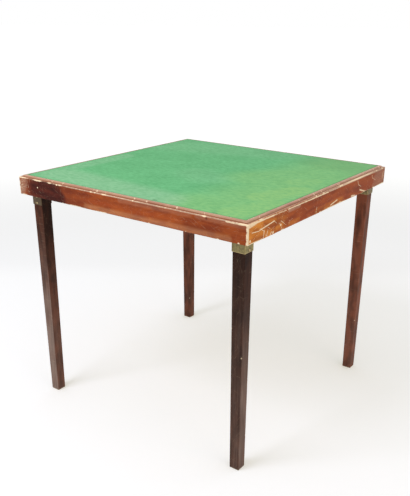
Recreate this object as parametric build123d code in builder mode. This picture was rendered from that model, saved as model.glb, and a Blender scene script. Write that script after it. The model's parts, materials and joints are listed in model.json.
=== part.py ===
from build123d import *
from math import cos, radians
import os

os.makedirs("parts", exist_ok=True)

# A square card table with a baize top. Its four legs fold up under the top, each along one apron,
# one after the other round the frame. The origin is on the floor under the middle of the table,
# +Z points up and the front apron faces -Y. Lengths are in millimetres, angles in degrees.

# Whole table
table_side = 762.0
table_height = 686.0
overrun = 5.0

# Corners and sides, in the order in which quarter turns about +Z reach them
corner_names = ("front_left", "front_right", "rear_right", "rear_left")
side_names = ("front", "right", "rear", "left")
quarter_turn = 90.0
eighth_turn = 45.0

# Top: baize on a plywood board, let into the aprons, with a bead round it
baize_thickness = 1.2
board_thickness = 6.0
board_clearance = 0.3
playing_rise = 4.5
rim_width = 16.0
bead_width = 8.5
bead_drop = 0.3
bead_outer_radius = 3.2
bead_inner_radius = 0.5

# Aprons, and the loose tongues in their mitres
apron_thickness = 20.0
apron_corner_radius = 1.6
apron_arris = 1.3
spline_length = 14.0
spline_thickness = 3.0
spline_height = 30.0
spline_setback = 10.0
spline_clearance = 0.1

# Gussets and battens under the board
gusset_thickness = 5.0
gusset_reach = 128.0
gusset_blunt = 8.0
batten_width = 40.0
batten_thickness = 9.0
batten_offset = 127.0
batten_end_clearance = 0.2
batten_screw_count = 5

# Legs
leg_width = 34.0
foot_width = 28.5
leg_arris = 1.2
cheek_side_gap = 3.0
back_side_gap = 5.5
folded_recess = 0.5

# Brass sockets, whose rounded tops are the cams under the springs
socket_wall = 2.0
socket_show = 30.0
socket_bend_radius = 2.6
stop_reach = 8.0
back_cam_radius = 8.0
front_cam_radius = 13.0

# Hinge hangers: a plate with a tongue and a barrel
plate_thickness = 2.5
plate_side_gap = 0.5
plate_reach = 54.0
plate_back_gap = 1.0
plate_corner_radius = 4.0
tongue_thickness = 8.0
tongue_heel_radius = 3.0
stop_clearance = 0.3
barrel_radius = 6.5
barrel_clearance = 1.5

# Pivot pins with their washers, and the rivets through the sockets
pin_radius = 3.0
running_clearance = 0.05
pin_head_radius = 5.0
head_height = 0.6
head_rounding = 0.35
washer_thickness = 0.8
washer_radius = 6.0
side_play = 0.1
rivet_radius = 2.0
rivet_head_radius = 3.2
rivet_up = 5.5
rivet_pitch = 18.0

# Leaf springs: a root on the plate and two prongs over the cheeks
spring_space = 2.3
spring_thickness = 0.8
spring_gap = 0.1
spring_side_inset = 0.5
spring_slot_width = 11.0
prong_back = 12.0
prong_front = 20.0
crank_length = 8.0
root_length = 16.0
spring_rivet_radius = 1.5
spring_rivet_head_radius = 2.8
spring_rivet_head_height = 0.9
spring_rivet_edge = 8.0

# Wood screws
screw_radius = 1.6
screw_clearance = 0.15
screw_head_radius = 3.4
screw_head_depth = 1.8
screw_point = 2.5
screw_point_radius = 0.3
screw_slot_width = 0.8
screw_slot_depth = 0.7
hanger_screw_bite = 9.0
hanger_screw_edge = 6.5
back_screw_setback = 11.0
front_screw_margin = 5.0
batten_screw_bite = 4.0

# Heights above the floor, worked down from the baize
apron_top = table_height - playing_rise
board_top = table_height - baize_thickness
board_bottom = board_top - board_thickness
plate_top = board_bottom - gusset_thickness
plate_bottom = plate_top - plate_thickness
pivot_height = plate_bottom - spring_space - leg_width / 2
apron_bottom = pivot_height - leg_width / 2 - socket_wall - folded_recess
apron_depth = apron_top - apron_bottom
socket_bottom = apron_bottom - socket_show
leg_top = pivot_height - barrel_radius - barrel_clearance
batten_bottom = board_bottom - batten_thickness

# Places in plan
half_side = table_side / 2
inner_half = half_side - apron_thickness
rim_half = half_side - rim_width
board_side = 2 * (rim_half - board_clearance)
spline_place = inner_half + spline_setback * cos(radians(eighth_turn))
leg_back = -inner_half + back_side_gap
leg_outer = -inner_half + cheek_side_gap
pivot_x = leg_back + leg_width / 2
pivot_y = leg_outer + leg_width / 2

# Lengths along and across the front left leg's fold, from the pivot
cheek_span = leg_width + 2 * socket_wall
socket_height = pivot_height + leg_width / 2 - socket_bottom
plate_width = 2 * (cheek_side_gap + leg_width / 2 - plate_side_gap)
spring_width = plate_width - 2 * spring_side_inset
barrel_length = leg_width - 2 * (washer_thickness + 2 * side_play)
tongue_back = leg_width / 2 - stop_clearance
plate_back = back_side_gap + leg_width / 2 - plate_back_gap
spring_front = prong_front + crank_length + root_length
spring_rivet_reach = spring_front - root_length / 2
plate_drop = plate_bottom - pivot_height
prong_drop = leg_width / 2 + spring_gap
rivet_drops = [socket_bottom + up - pivot_height for up in (rivet_up, rivet_up + rivet_pitch)]
hanger_screw_length = plate_thickness + hanger_screw_bite
batten_screw_length = batten_thickness + batten_screw_bite

# Frames at the front left pivot: level, and upright with its normal along the pin
hinge_level = Plane(origin=(pivot_x, pivot_y, pivot_height))
hinge_upright = Plane(origin=(pivot_x, pivot_y, pivot_height), x_dir=(1, 0, 0), z_dir=(0, -1, 0))

# Heads of the battens' screws and of the front left hanger's, and axes of the rivets of its spring
batten_screw_pitch = 2 * inner_half / batten_screw_count
batten_screw_places = [
    (side * batten_offset, (row - (batten_screw_count - 1) / 2) * batten_screw_pitch, batten_bottom)
    for side in (-1, 1)
    for row in range(batten_screw_count)
]
hanger_screw_places = [
    (pivot_x + reach, pivot_y + side * (plate_width / 2 - hanger_screw_edge), plate_bottom)
    for reach in (-back_screw_setback, plate_reach - front_screw_margin)
    for side in (-1, 1)
]
spring_rivet_places = [
    (pivot_x + spring_rivet_reach, pivot_y + side * (spring_width / 2 - spring_rivet_edge), plate_bottom)
    for side in (-1, 1)
]

upward = (Align.CENTER, Align.CENTER, Align.MIN)
downward = (Align.CENTER, Align.CENTER, Align.MAX)
across_fold = (quarter_turn, 0, 0)


def write_part(builder, node):
    """Label a finished piece and write it under its node's name."""
    builder.part.label = node
    export_step(builder.part, f"parts/{node}.step")


def write_round(builder, names, kind):
    """Write a front or front left piece four times, a quarter turn apart about the middle."""
    for turn, name in enumerate(names):
        with BuildPart() as turned:
            add(builder.part, rotation=(0, 0, turn * quarter_turn))
        write_part(turned, f"{name}_{kind}")


def front_wedge():
    """Keep of a sketch in plan only what lies in front of the table's two diagonals."""
    far_corner = (table_side, -table_side)
    Polygon((0, 0), (-table_side, -table_side), far_corner, align=None, mode=Mode.INTERSECT)


def screw(length):
    """Add a slotted wood screw at each location, its head flush there and its point up."""
    Cone(screw_head_radius, screw_radius, screw_head_depth, align=upward)
    Cylinder(screw_radius, length - screw_point, align=upward)
    with Locations((0, 0, length - screw_point)):
        Cone(screw_radius, screw_point_radius, screw_point, align=upward)
    Box(2 * screw_head_radius, screw_slot_width, screw_slot_depth, align=upward, mode=Mode.SUBTRACT)


def screw_hole(length):
    """Cut the hole of such a screw at each location, countersunk for its head."""
    Cylinder(screw_radius + screw_clearance, length, align=upward, mode=Mode.SUBTRACT)
    Cone(
        screw_head_radius + screw_clearance,
        screw_radius + screw_clearance,
        screw_head_depth + screw_clearance,
        align=upward,
        mode=Mode.SUBTRACT,
    )


def pin_bore(radius, drop=0):
    """Cut a bore across the front left leg's fold, at a height from the pivot."""
    with Locations((pivot_x, pivot_y, pivot_height + drop)):
        Cylinder(radius, 2 * cheek_span, rotation=across_fold, mode=Mode.SUBTRACT)


def headed_pin(radius, head_radius, drop=0):
    """Add a pin across the front left socket with a low riveted head outside each cheek."""
    with Locations((pivot_x, pivot_y, pivot_height + drop)):
        Cylinder(radius, cheek_span, rotation=across_fold)
        for side in (-1, 1):
            with Locations((0, side * (cheek_span + head_height) / 2, 0)):
                Cylinder(head_radius, head_height, rotation=across_fold)


# Apron boards: mitred, with a rebate along the inner top edge and a slot in each mitre
with BuildPart() as apron:
    with BuildSketch(Plane.XY.offset(apron_bottom)):
        RectangleRounded(table_side, table_side, apron_corner_radius)
        Rectangle(2 * inner_half, 2 * inner_half, mode=Mode.SUBTRACT)
        front_wedge()
    extrude(amount=apron_depth)
    with Locations((0, 0, board_bottom)):
        Box(2 * rim_half, 2 * rim_half, apron_depth, align=upward, mode=Mode.SUBTRACT)
    fillet(apron.edges().filter_by(Axis.X).group_by(Axis.Y)[0], radius=apron_arris)
    for side in (-1, 1):
        slot_place = (side * spline_place, -spline_place, apron_bottom + apron_depth / 2)
        with Locations(Location(slot_place, (0, 0, -side * eighth_turn))):
            Box(
                spline_thickness + 2 * spline_clearance,
                spline_length + 2 * spline_clearance,
                spline_height + 2 * spline_clearance,
                mode=Mode.SUBTRACT,
            )
write_round(apron, side_names, "apron")

# Loose tongues across the four mitres
with BuildPart() as corner_splines:
    for turn in range(len(corner_names)):
        spline_turn = eighth_turn + turn * quarter_turn
        with PolarLocations(spline_place / cos(radians(eighth_turn)), 1, start_angle=spline_turn):
            with Locations((0, 0, apron_bottom + apron_depth / 2)):
                Box(spline_thickness, spline_length, spline_height)
write_part(corner_splines, "corner_splines")

# Bead mouldings: mitred strips on the aprons, round the baize
with BuildPart() as bead:
    with BuildSketch(Plane.XY.offset(apron_top)):
        Rectangle(2 * (rim_half + bead_width), 2 * (rim_half + bead_width))
        Rectangle(2 * rim_half, 2 * rim_half, mode=Mode.SUBTRACT)
        front_wedge()
    extrude(amount=playing_rise - bead_drop)
    long_edges = bead.edges().filter_by(Axis.X).group_by(Axis.Y)
    fillet(long_edges[0].sort_by(Axis.Z)[-1], radius=bead_outer_radius)
    long_edges = bead.edges().filter_by(Axis.X).group_by(Axis.Y)
    fillet(long_edges[-1].sort_by(Axis.Z)[-1], radius=bead_inner_radius)
write_round(bead, side_names, "bead")

# Plywood board under the baize, with the ends of the screw holes
with BuildPart() as board:
    with Locations((0, 0, board_bottom)):
        Box(board_side, board_side, board_thickness, align=upward)
    with PolarLocations(0, len(corner_names)):
        with Locations(*hanger_screw_places):
            screw_hole(hanger_screw_length)
    with Locations(*batten_screw_places):
        screw_hole(batten_screw_length)
write_part(board, "playing_board")

# Baize, glued to the board
with BuildPart() as baize:
    with Locations((0, 0, board_top)):
        Box(board_side, board_side, baize_thickness, align=upward)
write_part(baize, "baize")

# Corner gussets, glued under the board, that thicken it for the hangers' screws
with BuildPart() as gusset:
    with BuildSketch(Plane((-inner_half, -inner_half, plate_top))):
        with BuildLine():
            Polyline(
                (0, 0),
                (gusset_reach, 0),
                (gusset_reach, gusset_blunt),
                (gusset_blunt, gusset_reach),
                (0, gusset_reach),
                close=True,
            )
        make_face()
    extrude(amount=gusset_thickness)
    with Locations(*hanger_screw_places):
        screw_hole(hanger_screw_length)
write_round(gusset, corner_names, "gusset")

# Battens that keep the board flat
for batten_side, batten_name in ((-1, "left_batten"), (1, "right_batten")):
    with BuildPart() as batten:
        with Locations((batten_side * batten_offset, 0, batten_bottom)):
            Box(batten_width, 2 * (inner_half - batten_end_clearance), batten_thickness, align=upward)
        with Locations(*batten_screw_places):
            screw_hole(batten_screw_length)
    write_part(batten, batten_name)
with BuildPart() as batten_screws:
    with Locations(*batten_screw_places):
        screw(batten_screw_length)
write_part(batten_screws, "batten_screws")

# Hinge hangers: a plate under the gusset, with a tongue and a barrel between the cheeks
with BuildPart() as hanger:
    with BuildSketch(Plane.XY.offset(plate_bottom)):
        with Locations((pivot_x + (plate_reach - plate_back) / 2, pivot_y)):
            RectangleRounded(plate_reach + plate_back, plate_width, plate_corner_radius)
    extrude(amount=plate_thickness)
    with BuildSketch(hinge_upright) as tongue_face:
        with Locations(((barrel_radius - tongue_back) / 2, plate_drop / 2)):
            Rectangle(barrel_radius + tongue_back, plate_drop)
        heel = tongue_face.vertices().group_by(Axis.Y)[0].sort_by(Axis.X)[0]
        fillet(heel, radius=tongue_heel_radius)
    extrude(amount=tongue_thickness / 2, both=True)
    with BuildSketch(hinge_upright):
        Circle(barrel_radius)
    extrude(amount=barrel_length / 2, both=True)
    pin_bore(pin_radius + running_clearance)
    with Locations(*hanger_screw_places):
        screw_hole(hanger_screw_length)
    with Locations(*spring_rivet_places):
        Cylinder(spring_rivet_radius + running_clearance, overrun, align=upward, mode=Mode.SUBTRACT)
write_round(hanger, corner_names, "hinge_hanger")

# Screws of the hangers, up through gusset and board
with BuildPart() as hanger_screws:
    with Locations(*hanger_screw_places):
        screw(hanger_screw_length)
write_round(hanger_screws, corner_names, "hanger_screws")

# Forked leaf springs, cranked down from the plate to lie just over the cheeks
with BuildPart() as spring:
    with BuildSketch(hinge_upright):
        with BuildLine():
            Polyline(
                (-prong_back, prong_drop),
                (prong_front, prong_drop),
                (prong_front + crank_length, plate_drop - spring_thickness),
                (spring_front, plate_drop - spring_thickness),
                (spring_front, plate_drop),
                (prong_front + crank_length, plate_drop),
                (prong_front, prong_drop + spring_thickness),
                (-prong_back, prong_drop + spring_thickness),
                close=True,
            )
        make_face()
    extrude(amount=spring_width / 2, both=True)
    with BuildSketch(hinge_level):
        with Locations((-prong_back - overrun, 0)):
            Rectangle(
                prong_back + overrun + prong_front + crank_length / 2,
                spring_slot_width,
                align=(Align.MIN, Align.CENTER),
            )
    extrude(amount=plate_drop + overrun, mode=Mode.SUBTRACT)
    with Locations(*spring_rivet_places):
        Cylinder(spring_rivet_radius + running_clearance, overrun, mode=Mode.SUBTRACT)
write_round(spring, corner_names, "leaf_spring")

# Rivets that hold the springs' roots to the plates
with BuildPart() as spring_rivets:
    with Locations(*spring_rivet_places):
        with Locations((0, 0, -spring_thickness)):
            Cylinder(spring_rivet_radius, spring_thickness + plate_thickness, align=upward)
            Cylinder(spring_rivet_head_radius, spring_rivet_head_height, align=downward)
write_round(spring_rivets, corner_names, "spring_rivets")

# Legs: square in the socket, and tapered below it on the two inner faces
with BuildPart() as leg:
    with BuildSketch(Plane.XY):
        with Locations((leg_back + foot_width / 2, leg_outer + foot_width / 2)):
            RectangleRounded(foot_width, foot_width, leg_arris)
    with BuildSketch(Plane.XY.offset(socket_bottom)):
        with Locations((pivot_x, pivot_y)):
            RectangleRounded(leg_width, leg_width, leg_arris)
    loft()
    with BuildSketch(Plane.XY.offset(socket_bottom)):
        with Locations((pivot_x, pivot_y)):
            RectangleRounded(leg_width, leg_width, leg_arris)
    extrude(amount=leg_top - socket_bottom)
    for drop in rivet_drops:
        pin_bore(rivet_radius + running_clearance, drop)
write_round(leg, corner_names, "leg")

# Brass sockets: a U round the leg's head, open towards the fold
with BuildPart() as socket:
    with BuildSketch(Plane.XY.offset(socket_bottom)) as socket_plan:
        with Locations((pivot_x - socket_wall / 2, pivot_y)):
            Rectangle(leg_width + socket_wall, cheek_span)
        fillet(socket_plan.vertices().group_by(Axis.X)[0], radius=socket_bend_radius)
        with Locations((pivot_x - leg_width / 2, pivot_y)):
            Rectangle(cheek_span, leg_width, align=(Align.MIN, Align.CENTER), mode=Mode.SUBTRACT)
    extrude(amount=socket_height)
    with BuildSketch(hinge_upright) as cam_face:
        with Locations((leg_width / 2, leg_width / 2)):
            Rectangle(leg_width + socket_wall, socket_height + overrun, align=Align.MAX)
        cam_corners = cam_face.vertices().group_by(Axis.Y)[-1].sort_by(Axis.X)
        fillet(cam_corners[0], radius=back_cam_radius)
        cam_corners = cam_face.vertices().group_by(Axis.X)[-1].sort_by(Axis.Y)
        fillet(cam_corners[-1], radius=front_cam_radius)
    extrude(amount=cheek_span, both=True, mode=Mode.INTERSECT)
    with BuildSketch(hinge_level.offset(stop_reach)):
        Rectangle(2 * cheek_span, leg_width)
    extrude(amount=leg_width, mode=Mode.SUBTRACT)
    pin_bore(pin_radius + running_clearance)
    for drop in rivet_drops:
        pin_bore(rivet_radius + running_clearance, drop)
write_round(socket, corner_names, "socket")

# Rivets through socket and leg
with BuildPart() as socket_rivets:
    for drop in rivet_drops:
        headed_pin(rivet_radius, rivet_head_radius, drop)
    head_edges = socket_rivets.edges().filter_by(GeomType.CIRCLE)
    fillet(head_edges.group_by(Axis.Y)[0] + head_edges.group_by(Axis.Y)[-1], radius=head_rounding)
write_round(socket_rivets, corner_names, "socket_rivets")

# Pivot pins, riveted over the cheeks
with BuildPart() as pivot_pin:
    headed_pin(pin_radius, pin_head_radius)
    head_edges = pivot_pin.edges().filter_by(GeomType.CIRCLE)
    fillet(head_edges.group_by(Axis.Y)[0] + head_edges.group_by(Axis.Y)[-1], radius=head_rounding)
write_round(pivot_pin, corner_names, "pivot_pin")

# Washers between barrel and cheeks
with BuildPart() as washers:
    for side in (-1, 1):
        with BuildSketch(hinge_upright.offset(side * (barrel_length / 2 + side_play))):
            Circle(washer_radius)
            Circle(pin_radius + running_clearance, mode=Mode.SUBTRACT)
        extrude(amount=side * washer_thickness)
write_round(washers, corner_names, "pivot_washers")
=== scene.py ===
"""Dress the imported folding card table: worn mahogany, green baize and tarnished brass.

Lengths are in metres in the table's own frame: the floor is z = 0, the middle of the table is
x = y = 0 and the front apron faces -Y.
"""

import json
import logging
import math
from collections.abc import Callable
from dataclasses import dataclass, field
from enum import Enum

import bmesh
import bpy
import numpy as np
from mathutils import Matrix, Vector

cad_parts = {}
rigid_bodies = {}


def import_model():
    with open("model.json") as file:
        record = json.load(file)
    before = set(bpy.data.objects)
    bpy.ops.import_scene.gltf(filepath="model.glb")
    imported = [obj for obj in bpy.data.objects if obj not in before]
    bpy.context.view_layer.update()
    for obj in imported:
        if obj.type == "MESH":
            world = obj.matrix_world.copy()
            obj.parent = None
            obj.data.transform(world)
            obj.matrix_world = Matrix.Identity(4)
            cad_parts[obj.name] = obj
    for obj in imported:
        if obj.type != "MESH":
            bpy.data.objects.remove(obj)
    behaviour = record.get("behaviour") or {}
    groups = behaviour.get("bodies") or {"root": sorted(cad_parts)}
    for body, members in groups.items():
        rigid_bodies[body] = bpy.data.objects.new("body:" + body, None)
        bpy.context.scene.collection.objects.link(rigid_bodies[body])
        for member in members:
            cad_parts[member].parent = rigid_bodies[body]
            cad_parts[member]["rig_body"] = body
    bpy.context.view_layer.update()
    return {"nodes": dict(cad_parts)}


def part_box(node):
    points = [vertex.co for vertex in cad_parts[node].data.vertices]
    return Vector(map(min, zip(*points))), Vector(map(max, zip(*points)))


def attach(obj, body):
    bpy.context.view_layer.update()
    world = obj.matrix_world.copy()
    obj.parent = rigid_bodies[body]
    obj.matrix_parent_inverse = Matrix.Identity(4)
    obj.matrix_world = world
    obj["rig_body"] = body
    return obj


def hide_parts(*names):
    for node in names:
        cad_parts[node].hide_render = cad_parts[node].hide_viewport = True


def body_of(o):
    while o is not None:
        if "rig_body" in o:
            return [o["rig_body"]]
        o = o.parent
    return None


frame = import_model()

Tree = bpy.types.NodeTree
Output = bpy.types.NodeSocket
Place = tuple[float, ...]

MM = 0.001
FULL_TURN = 2 * math.pi
SHARP_ANGLE = math.radians(38)
FLAT_ANGLE = math.radians(0.5)
WELD_DISTANCE = 0.002 * MM
RIPPLE_WAVES = 10
SCRATCH_CREST = 0.69
WHITE = (1.0, 1.0, 1.0, 1.0)

# What fixes each random draw. Those for sides, corners and edges count on from these.
STRIP_SEED, CLOTH_SEED, UPRIGHT_SEED, FACE_SHARE_SEED, DARKENING_SEED, LEG_SEED = 7, 21, 50, 70, 90, 300

log = logging.getLogger("card_table")


class Corner(Enum):
    """The four corners, in the order in which quarter turns about +Z reach them."""

    FRONT_LEFT = 0
    FRONT_RIGHT = 1
    REAR_RIGHT = 2
    REAR_LEFT = 3


class Side(Enum):
    """The four sides of the top, in the same order of quarter turns."""

    FRONT = 0
    RIGHT = 1
    REAR = 2
    LEFT = 3


def linear(colour: str) -> tuple[float, float, float, float]:
    """Turn a colour written as sRGB hex into linear light.

    Args:
        colour: six hex digits after a hash mark.

    Returns:
        Red, green, blue and an alpha of one.
    """
    shares = [int(colour[i : i + 2], 16) / 255 for i in (1, 3, 5)]
    light = [s / 12.92 if s <= 0.04045 else ((s + 0.055) / 1.055) ** 2.4 for s in shares]
    return (*light, 1.0)


def add_node(
    tree: Tree,
    kind: str,
    inputs: dict[str | int, object] | None = None,
    output: str | None = None,
    **settings: object,
) -> Output:
    """Add a shader node with its settings, its values and its links.

    Args:
        tree: the material's node tree.
        kind: the node's type, without the word ShaderNode.
        inputs: for each socket's name or number, a value or the output that feeds it.
        output: the name of the output wanted, where it isn't the first that is in use.
        **settings: the node's own properties.

    Returns:
        The wanted output of the new node.
    """
    node = tree.nodes.new(f"ShaderNode{kind}")
    for name, value in settings.items():
        setattr(node, name, value)
    for key, value in (inputs or {}).items():
        named = (s for s in node.inputs if s.enabled and s.name == key)
        socket = node.inputs[key] if isinstance(key, int) else next(named)
        if isinstance(value, Output):
            tree.links.new(value, socket)
        else:
            socket.default_value = value
    usable = [s for s in node.outputs if s.enabled]
    return next(s for s in usable if s.name == output) if output else usable[0]


def feed(owner: bpy.types.Material | bpy.types.World, surface: Callable[[Tree], Output]) -> None:
    """Replace the nodes of a material or a world.

    Args:
        owner: the material or the world.
        surface: what builds the new nodes and gives the output that goes to the last one.
    """
    owner.use_nodes = True
    tree = owner.node_tree
    tree.nodes.clear()
    end = tree.nodes.new(f"ShaderNodeOutput{type(owner).__name__}")
    tree.links.new(surface(tree), end.inputs["Surface"])


def linked(name: str, data: bpy.types.ID) -> bpy.types.Object:
    """Make an object of a mesh, a lamp or a camera and link it to the scene.

    Args:
        name: the object's name.
        data: the mesh, lamp or camera.

    Returns:
        The object.
    """
    piece = bpy.data.objects.new(name, data)
    bpy.context.scene.collection.objects.link(piece)
    return piece


def quarter_turned(points: np.ndarray, turns: int) -> np.ndarray:
    """Turn points about +Z through a whole number of quarter turns: x, y become -y, x each time.

    Args:
        points: an array whose last axis is x, y, z.
        turns: how many quarter turns.

    Returns:
        The turned points, as a new array.
    """
    turned = points.copy()
    for _ in range(turns):
        turned[..., 0], turned[..., 1] = -turned[..., 1].copy(), turned[..., 0].copy()
    return turned


def ripple(points: np.ndarray, wavelength: float, seed: int) -> np.ndarray:
    """Give a smooth random field from about -1 to 1.

    The field is the mean of some sine waves, each with its own random direction and phase and a
    wavelength within a third of the one asked for, times the root of half their number.

    Args:
        points: an array whose last axis is a place.
        wavelength: the typical distance from crest to crest.
        seed: what fixes the random directions.

    Returns:
        One value for each place.
    """
    draw = np.random.default_rng(seed)
    direction = draw.normal(size=(RIPPLE_WAVES, points.shape[-1]))
    direction /= np.linalg.norm(direction, axis=1, keepdims=True)
    pace = FULL_TURN / (wavelength * draw.uniform(0.67, 1.33, RIPPLE_WAVES))
    phase = draw.uniform(0, FULL_TURN, RIPPLE_WAVES)
    waves = np.sin(points @ (direction * pace[:, None]).T + phase)
    return waves.mean(axis=-1) * math.sqrt(RIPPLE_WAVES / 2)


def step_up(values: np.ndarray, low: float, high: float) -> np.ndarray:
    """Rise smoothly from 0 at a low value to 1 at a high one: 3t^2 - 2t^3 of the share between."""
    share = np.clip((values - low) / (high - low), 0, 1)
    return share * share * (3 - 2 * share)


def rolled(gap: np.ndarray, radius: float) -> np.ndarray:
    """Give how far a surface falls short near its edge: a quarter circle of the gap to the edge."""
    short = np.clip(1 - gap / radius, 0, 1)
    return radius * (1 - np.sqrt(1 - short**2))


@dataclass(frozen=True)
class Spot:
    """A mark on a flat face: a stain, chip or scuff that fades out from its middle line.

    Attributes:
        start: along and up, where the middle line starts.
        end: along and up, where it ends; a round spot ends where it starts.
        reach: how far from that line the mark still shows.
        strength: how strong it is on the line, as a share.
        core: the share of the reach within which it is as strong as on the line.
    """

    start: Place
    end: Place
    reach: float
    strength: float
    core: float = 0.35

    def on(self, along: np.ndarray, up: np.ndarray) -> np.ndarray:
        """Give the mark's strength: it falls off smoothly with distance from its middle line.

        Args:
            along: places along the face.
            up: heights on the face.

        Returns:
            One share for each place.
        """
        run, rise = self.end[0] - self.start[0], self.end[1] - self.start[1]
        squared = run * run + rise * rise or 1.0
        share = ((along - self.start[0]) * run + (up - self.start[1]) * rise) / squared
        share = np.clip(share, 0, 1)
        gap = np.hypot(along - self.start[0] - share * run, up - self.start[1] - share * rise)
        return self.strength * (1 - step_up(gap, self.core * self.reach, self.reach))


def spots(*rows: tuple[float, ...]) -> tuple[Spot, ...]:
    """Make spots from rows of numbers, which are millimetres but for the strength.

    Args:
        *rows: where a round spot is, or where a long one starts and ends, each along and up, and
            then the spot's reach and strength.

    Returns:
        The spots.
    """
    return tuple(
        Spot((row[0] * MM, row[1] * MM), (row[-4] * MM, row[-3] * MM), row[-2] * MM, row[-1])
        for row in rows
    )


def strongest(marks: tuple[Spot, ...], along: np.ndarray, up: np.ndarray) -> np.ndarray:
    """Give the share of the strongest spot at each place.

    Args:
        marks: the spots.
        along: places along the face.
        up: heights on it.

    Returns:
        One share for each place, none where no spot reaches.
    """
    return np.maximum.reduce([np.zeros_like(along), *(mark.on(along, up) for mark in marks)])


def deepen(fields: dict[str, np.ndarray], kind: str, share: np.ndarray) -> None:
    """Raise one of some fields to a share, wherever it is less."""
    fields[kind] = np.maximum(fields[kind], share)


@dataclass
class Shell:
    """A closed surface made of rings of points, with flat faces over its first and last ring.

    Attributes:
        name: the name of the piece.
        rings: places, as rings by points round a ring by x, y, z.
        marks: named fields over the same points, as shares or as places.
    """

    name: str
    rings: np.ndarray
    marks: dict[str, np.ndarray]

    def build(self, laddered: bool = False) -> bpy.types.Object:
        """Join neighbouring rings with quads, cap both ends and point every face outwards.

        Args:
            laddered: whether each cap is a strip of quads between the ring's two halves, as a
                folded sheet's is, and not one flat face.

        Returns:
            The piece, linked to the scene.
        """
        count, around = self.rings.shape[:2]
        points = self.rings.reshape(-1, 3)
        ring, here = np.arange(count - 1)[:, None] * around, np.arange(around)
        after = (here + 1) % around
        quads = [ring + here, ring + after, ring + around + after, ring + around + here]
        quads = np.stack(quads, axis=-1).reshape(-1, 4)
        caps = [here[::-1], here + (count - 1) * around]
        if laddered:
            caps = [rung for cap in caps for rung in self._rungs(cap)]
        if self._volume(points, quads, caps) < 0:
            quads, caps = quads[:, ::-1], [cap[::-1] for cap in caps]
        mesh = bpy.data.meshes.new(self.name)
        mesh.from_pydata(points.tolist(), [], quads.tolist() + [cap.tolist() for cap in caps])
        for name, values in self.marks.items():
            kind, slot = ("FLOAT_VECTOR", "vector") if values.ndim == 3 else ("FLOAT", "value")
            layer = mesh.attributes.new(name, kind, "POINT")
            layer.data.foreach_set(slot, values.astype(np.float32).ravel())
        weld(mesh)
        return linked(self.name, mesh)

    @staticmethod
    def _rungs(cap: np.ndarray) -> list[np.ndarray]:
        """Divide a ring into the quads between its two halves."""
        half = len(cap) // 2
        near, far = cap[:half], cap[:half - 1:-1]
        return list(np.stack([near[:-1], near[1:], far[1:], far[:-1]], axis=-1))

    @staticmethod
    def _volume(points: np.ndarray, quads: np.ndarray, caps: list[np.ndarray]) -> float:
        """Give the signed volume: a sixth of the sum of each face triangle's triple product.

        Args:
            points: the places.
            quads: the numbers of each quad's points.
            caps: the numbers of each cap's points.

        Returns:
            The volume, less than none where the faces point inwards.
        """
        fans = [np.stack([np.full(len(c) - 2, c[0]), c[1:-1], c[2:]], -1) for c in caps]
        faces = np.concatenate([quads[:, [0, 1, 2]], quads[:, [0, 2, 3]], *fans])
        a, b, c = (points[faces[:, i]] for i in range(3))
        return float((a * np.cross(b, c)).sum() / 6)


def weld(mesh: bpy.types.Mesh, flatten: bool = False) -> None:
    """Merge points that lie in one place, shade the mesh smooth and keep its real edges sharp.

    Args:
        mesh: the mesh, changed in place.
        flatten: whether faces that lie in one plane are joined too.
    """
    work = bmesh.new()
    work.from_mesh(mesh)
    bmesh.ops.remove_doubles(work, verts=work.verts, dist=WELD_DISTANCE)
    if flatten:
        bmesh.ops.dissolve_limit(
            work, angle_limit=FLAT_ANGLE, verts=work.verts, edges=work.edges, delimit={"NORMAL"}
        )
    work.to_mesh(mesh)
    work.free()
    mesh.polygons.foreach_set("use_smooth", [True] * len(mesh.polygons))
    mesh.set_sharp_from_angle(angle=SHARP_ANGLE)


@dataclass(frozen=True)
class Grain:
    """A noise drawn out along the first axis, as wood grain is, or as wide as long, as a patch is.

    Attributes:
        length: how long a streak is.
        width: how wide it is.
        contrast: half the width of the noise's middle band that is spread over 0 to 1.
        detail: how many finer octaves are added.
    """

    length: float
    width: float
    contrast: float
    detail: float = 2.0

    def noise(self, tree: Tree, place: Output) -> Output:
        """Build the noise.

        Args:
            tree: the material's node tree.
            place: the vector that it reads, in metres, with the grain along its first axis.

        Returns:
            The noise, as a share from 0 to 1.
        """
        scale = (1 / self.length, 1 / self.width, 1 / self.width)
        drawn_out = add_node(tree, "Mapping", {"Vector": place, "Scale": scale})
        noise = {"Vector": drawn_out, "Scale": 1.0, "Detail": self.detail}
        noise = add_node(tree, "TexNoise", noise)
        span = {"Value": noise, "From Min": 0.5 - self.contrast, "From Max": 0.5 + self.contrast}
        return add_node(tree, "MapRange", span, interpolation_type="SMOOTHSTEP")


@dataclass(frozen=True)
class Finish:
    """What a surface is made of and how it was finished.

    Attributes:
        name: the name of the material.
    """

    name: str

    def dress(self, piece: bpy.types.Object) -> None:
        """Put the material in the piece's only slot; the first such piece has it made."""
        made = bpy.data.materials.get(self.name)
        if made is None:
            made = bpy.data.materials.new(self.name)
            feed(made, self.surface)
        piece.data.materials.clear()
        piece.data.materials.append(made)

    def surface(self, tree: Tree) -> Output:
        """Build the nodes of the surface; each kind of finish does this its own way."""
        raise NotImplementedError


def layered(tree: Tree, base: str, *coats: tuple[Output, str]) -> Output:
    """Lay coats of colour over a base, each over those before it.

    Args:
        tree: the material's node tree.
        base: the lowest colour, as sRGB hex.
        *coats: how much of each coat shows, and its colour as sRGB hex.

    Returns:
        The colour that is seen.
    """
    seen = linear(base)
    for share, colour in coats:
        layers = {"Factor": share, "A": seen, "B": linear(colour)}
        seen = add_node(tree, "Mix", layers, data_type="RGBA")
    return seen


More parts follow.
